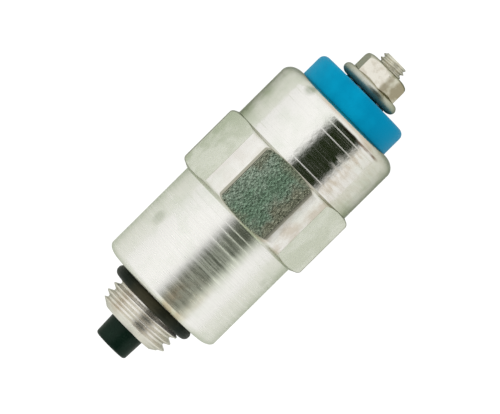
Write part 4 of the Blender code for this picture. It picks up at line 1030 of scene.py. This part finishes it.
flat = WASHER_STOCK / 2
sections = []
for step in range(TOOTH_STEPS + 1):
    share = step / TOOTH_STEPS
    angle = math.tau * share / WASHER_TEETH
    on_tooth = TOOTH_SHARE[0] <= share <= TOOTH_SHARE[1]
    outer = WASHER_RADIUS if on_tooth else WASHER_BAND_RADIUS
    across = (share - TOOTH_SHARE[0]) / (TOOTH_SHARE[1] - TOOTH_SHARE[0])
    lean = TOOTH_TWIST * (2 * across - 1) if on_tooth else 0
    corners = (
        (WASHER_MIDDLE - flat, WASHER_BORE_RADIUS),
        (WASHER_MIDDLE + flat, WASHER_BORE_RADIUS),
        (WASHER_MIDDLE + flat, TOOTH_ROOT_RADIUS),
        (WASHER_MIDDLE + lean + flat, outer),
        (WASHER_MIDDLE + lean - flat, outer),
        (WASHER_MIDDLE - flat, TOOTH_ROOT_RADIUS),
    )
    sections.append([(x, r * math.cos(angle), r * math.sin(angle)) for x, r in corners])
corner_count = len(sections[0])
tooth_faces = [
    (
        ring * corner_count + corner,
        ring * corner_count + (corner + 1) % corner_count,
        (ring + 1) * corner_count + (corner + 1) % corner_count,
        (ring + 1) * corner_count + corner,
    )
    for ring in range(TOOTH_STEPS)
    for corner in range(corner_count)
]
tooth = bpy.data.meshes.new("washer_tooth")
tooth.from_pydata([point for section in sections for point in section], [], tooth_faces)
washer = run_tree(
    toothed_ring(),
    tooth,
    "toothed_washer",
    turned_metal("darkened_spring_steel", (0.20, 0.21, 0.21), 0.32),
    teeth=WASHER_TEETH,
    axis_height=AXIS_HEIGHT,
)
settle(washer, 30)
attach(washer, "washer")
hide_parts("lock_washer")

# Nut: forged with its own thick, round-edged flange and tapped, its top corners turned off, then plated.
# The flange is dished underneath for the toothed washer, and rises in one round bead to the hexagon.
NUT_FACE = 0.02645
NUT_TOP = 0.03175
NUT_HALF_FLATS = 0.00411
NUT_CORNER_RADIUS = 0.00475
NUT_BORE_RADIUS = 0.00255
NUT_DISH_RADIUS = 0.0044
NUT_FLANGE_FOOT = 0.02625
NUT_FLANGE_CREST = 0.02723
NUT_FLANGE_RADIUS = 0.0058
NUT_UNDERSIDE = 0.00125
NUT_BEAD = (0.00092, 0.00095)
NUT_TOP_EDGE = (0.0012, 0.0019)
NUT_TURN = math.radians(101)
NUT_CHAMFER = 0.0003
NUT_FILLET = 0.00056
NUT_FILLET_OVERRUN = 0.0001
NUT_TOP_CHAMFER = 0.0002
nut_outline = [(NUT_FACE, NUT_BORE_RADIUS + NUT_CHAMFER), (NUT_FACE, NUT_DISH_RADIUS)]
underside_middle = (NUT_FLANGE_CREST, NUT_FLANGE_RADIUS - NUT_UNDERSIDE)
nut_outline += arc(underside_middle, NUT_FLANGE_CREST - NUT_FLANGE_FOOT, NUT_UNDERSIDE, 180, 92, 14)
bead_middle = (NUT_FLANGE_CREST, NUT_FLANGE_RADIUS - NUT_BEAD[1])
bead = arc(bead_middle, *NUT_BEAD, 90, 12, 16)
fillet_middle = (bead[-1][0] + NUT_FILLET, bead[-1][1])
fillet_height = bead[-1][1] - NUT_HALF_FLATS + NUT_FILLET_OVERRUN
bead += arc(fillet_middle, NUT_FILLET, fillet_height, 187, 265, 12)
for station, core in bead:
    nut_outline.append((station, NUT_CORNER_RADIUS, NUT_HALF_FLATS, core))
top_middle = (NUT_TOP - NUT_TOP_EDGE[0], NUT_CORNER_RADIUS - NUT_TOP_EDGE[1])
for station, radius in arc(top_middle, *NUT_TOP_EDGE, 90, 0, 14):
    nut_outline.append((station, radius, NUT_HALF_FLATS))
nut_outline += [
    (NUT_TOP - NUT_TOP_CHAMFER, NUT_BORE_RADIUS),
    (NUT_FACE + NUT_CHAMFER, NUT_BORE_RADIUS),
    (NUT_FACE, NUT_BORE_RADIUS + NUT_CHAMFER),
]
nut = run_tree(
    lathe,
    outline_mesh("nut_outline", nut_outline),
    "flange_nut",
    terminal_plating("nut_steel", (0.80, 0.77, 0.68), 0.16, 1.0),
    facets=240,
    bar_angle=NUT_TURN - math.radians(30),
    **no_thread,
)
settle(nut, 16)
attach(nut, "nut")
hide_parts("terminal_nut")

bpy.context.view_layer.update()
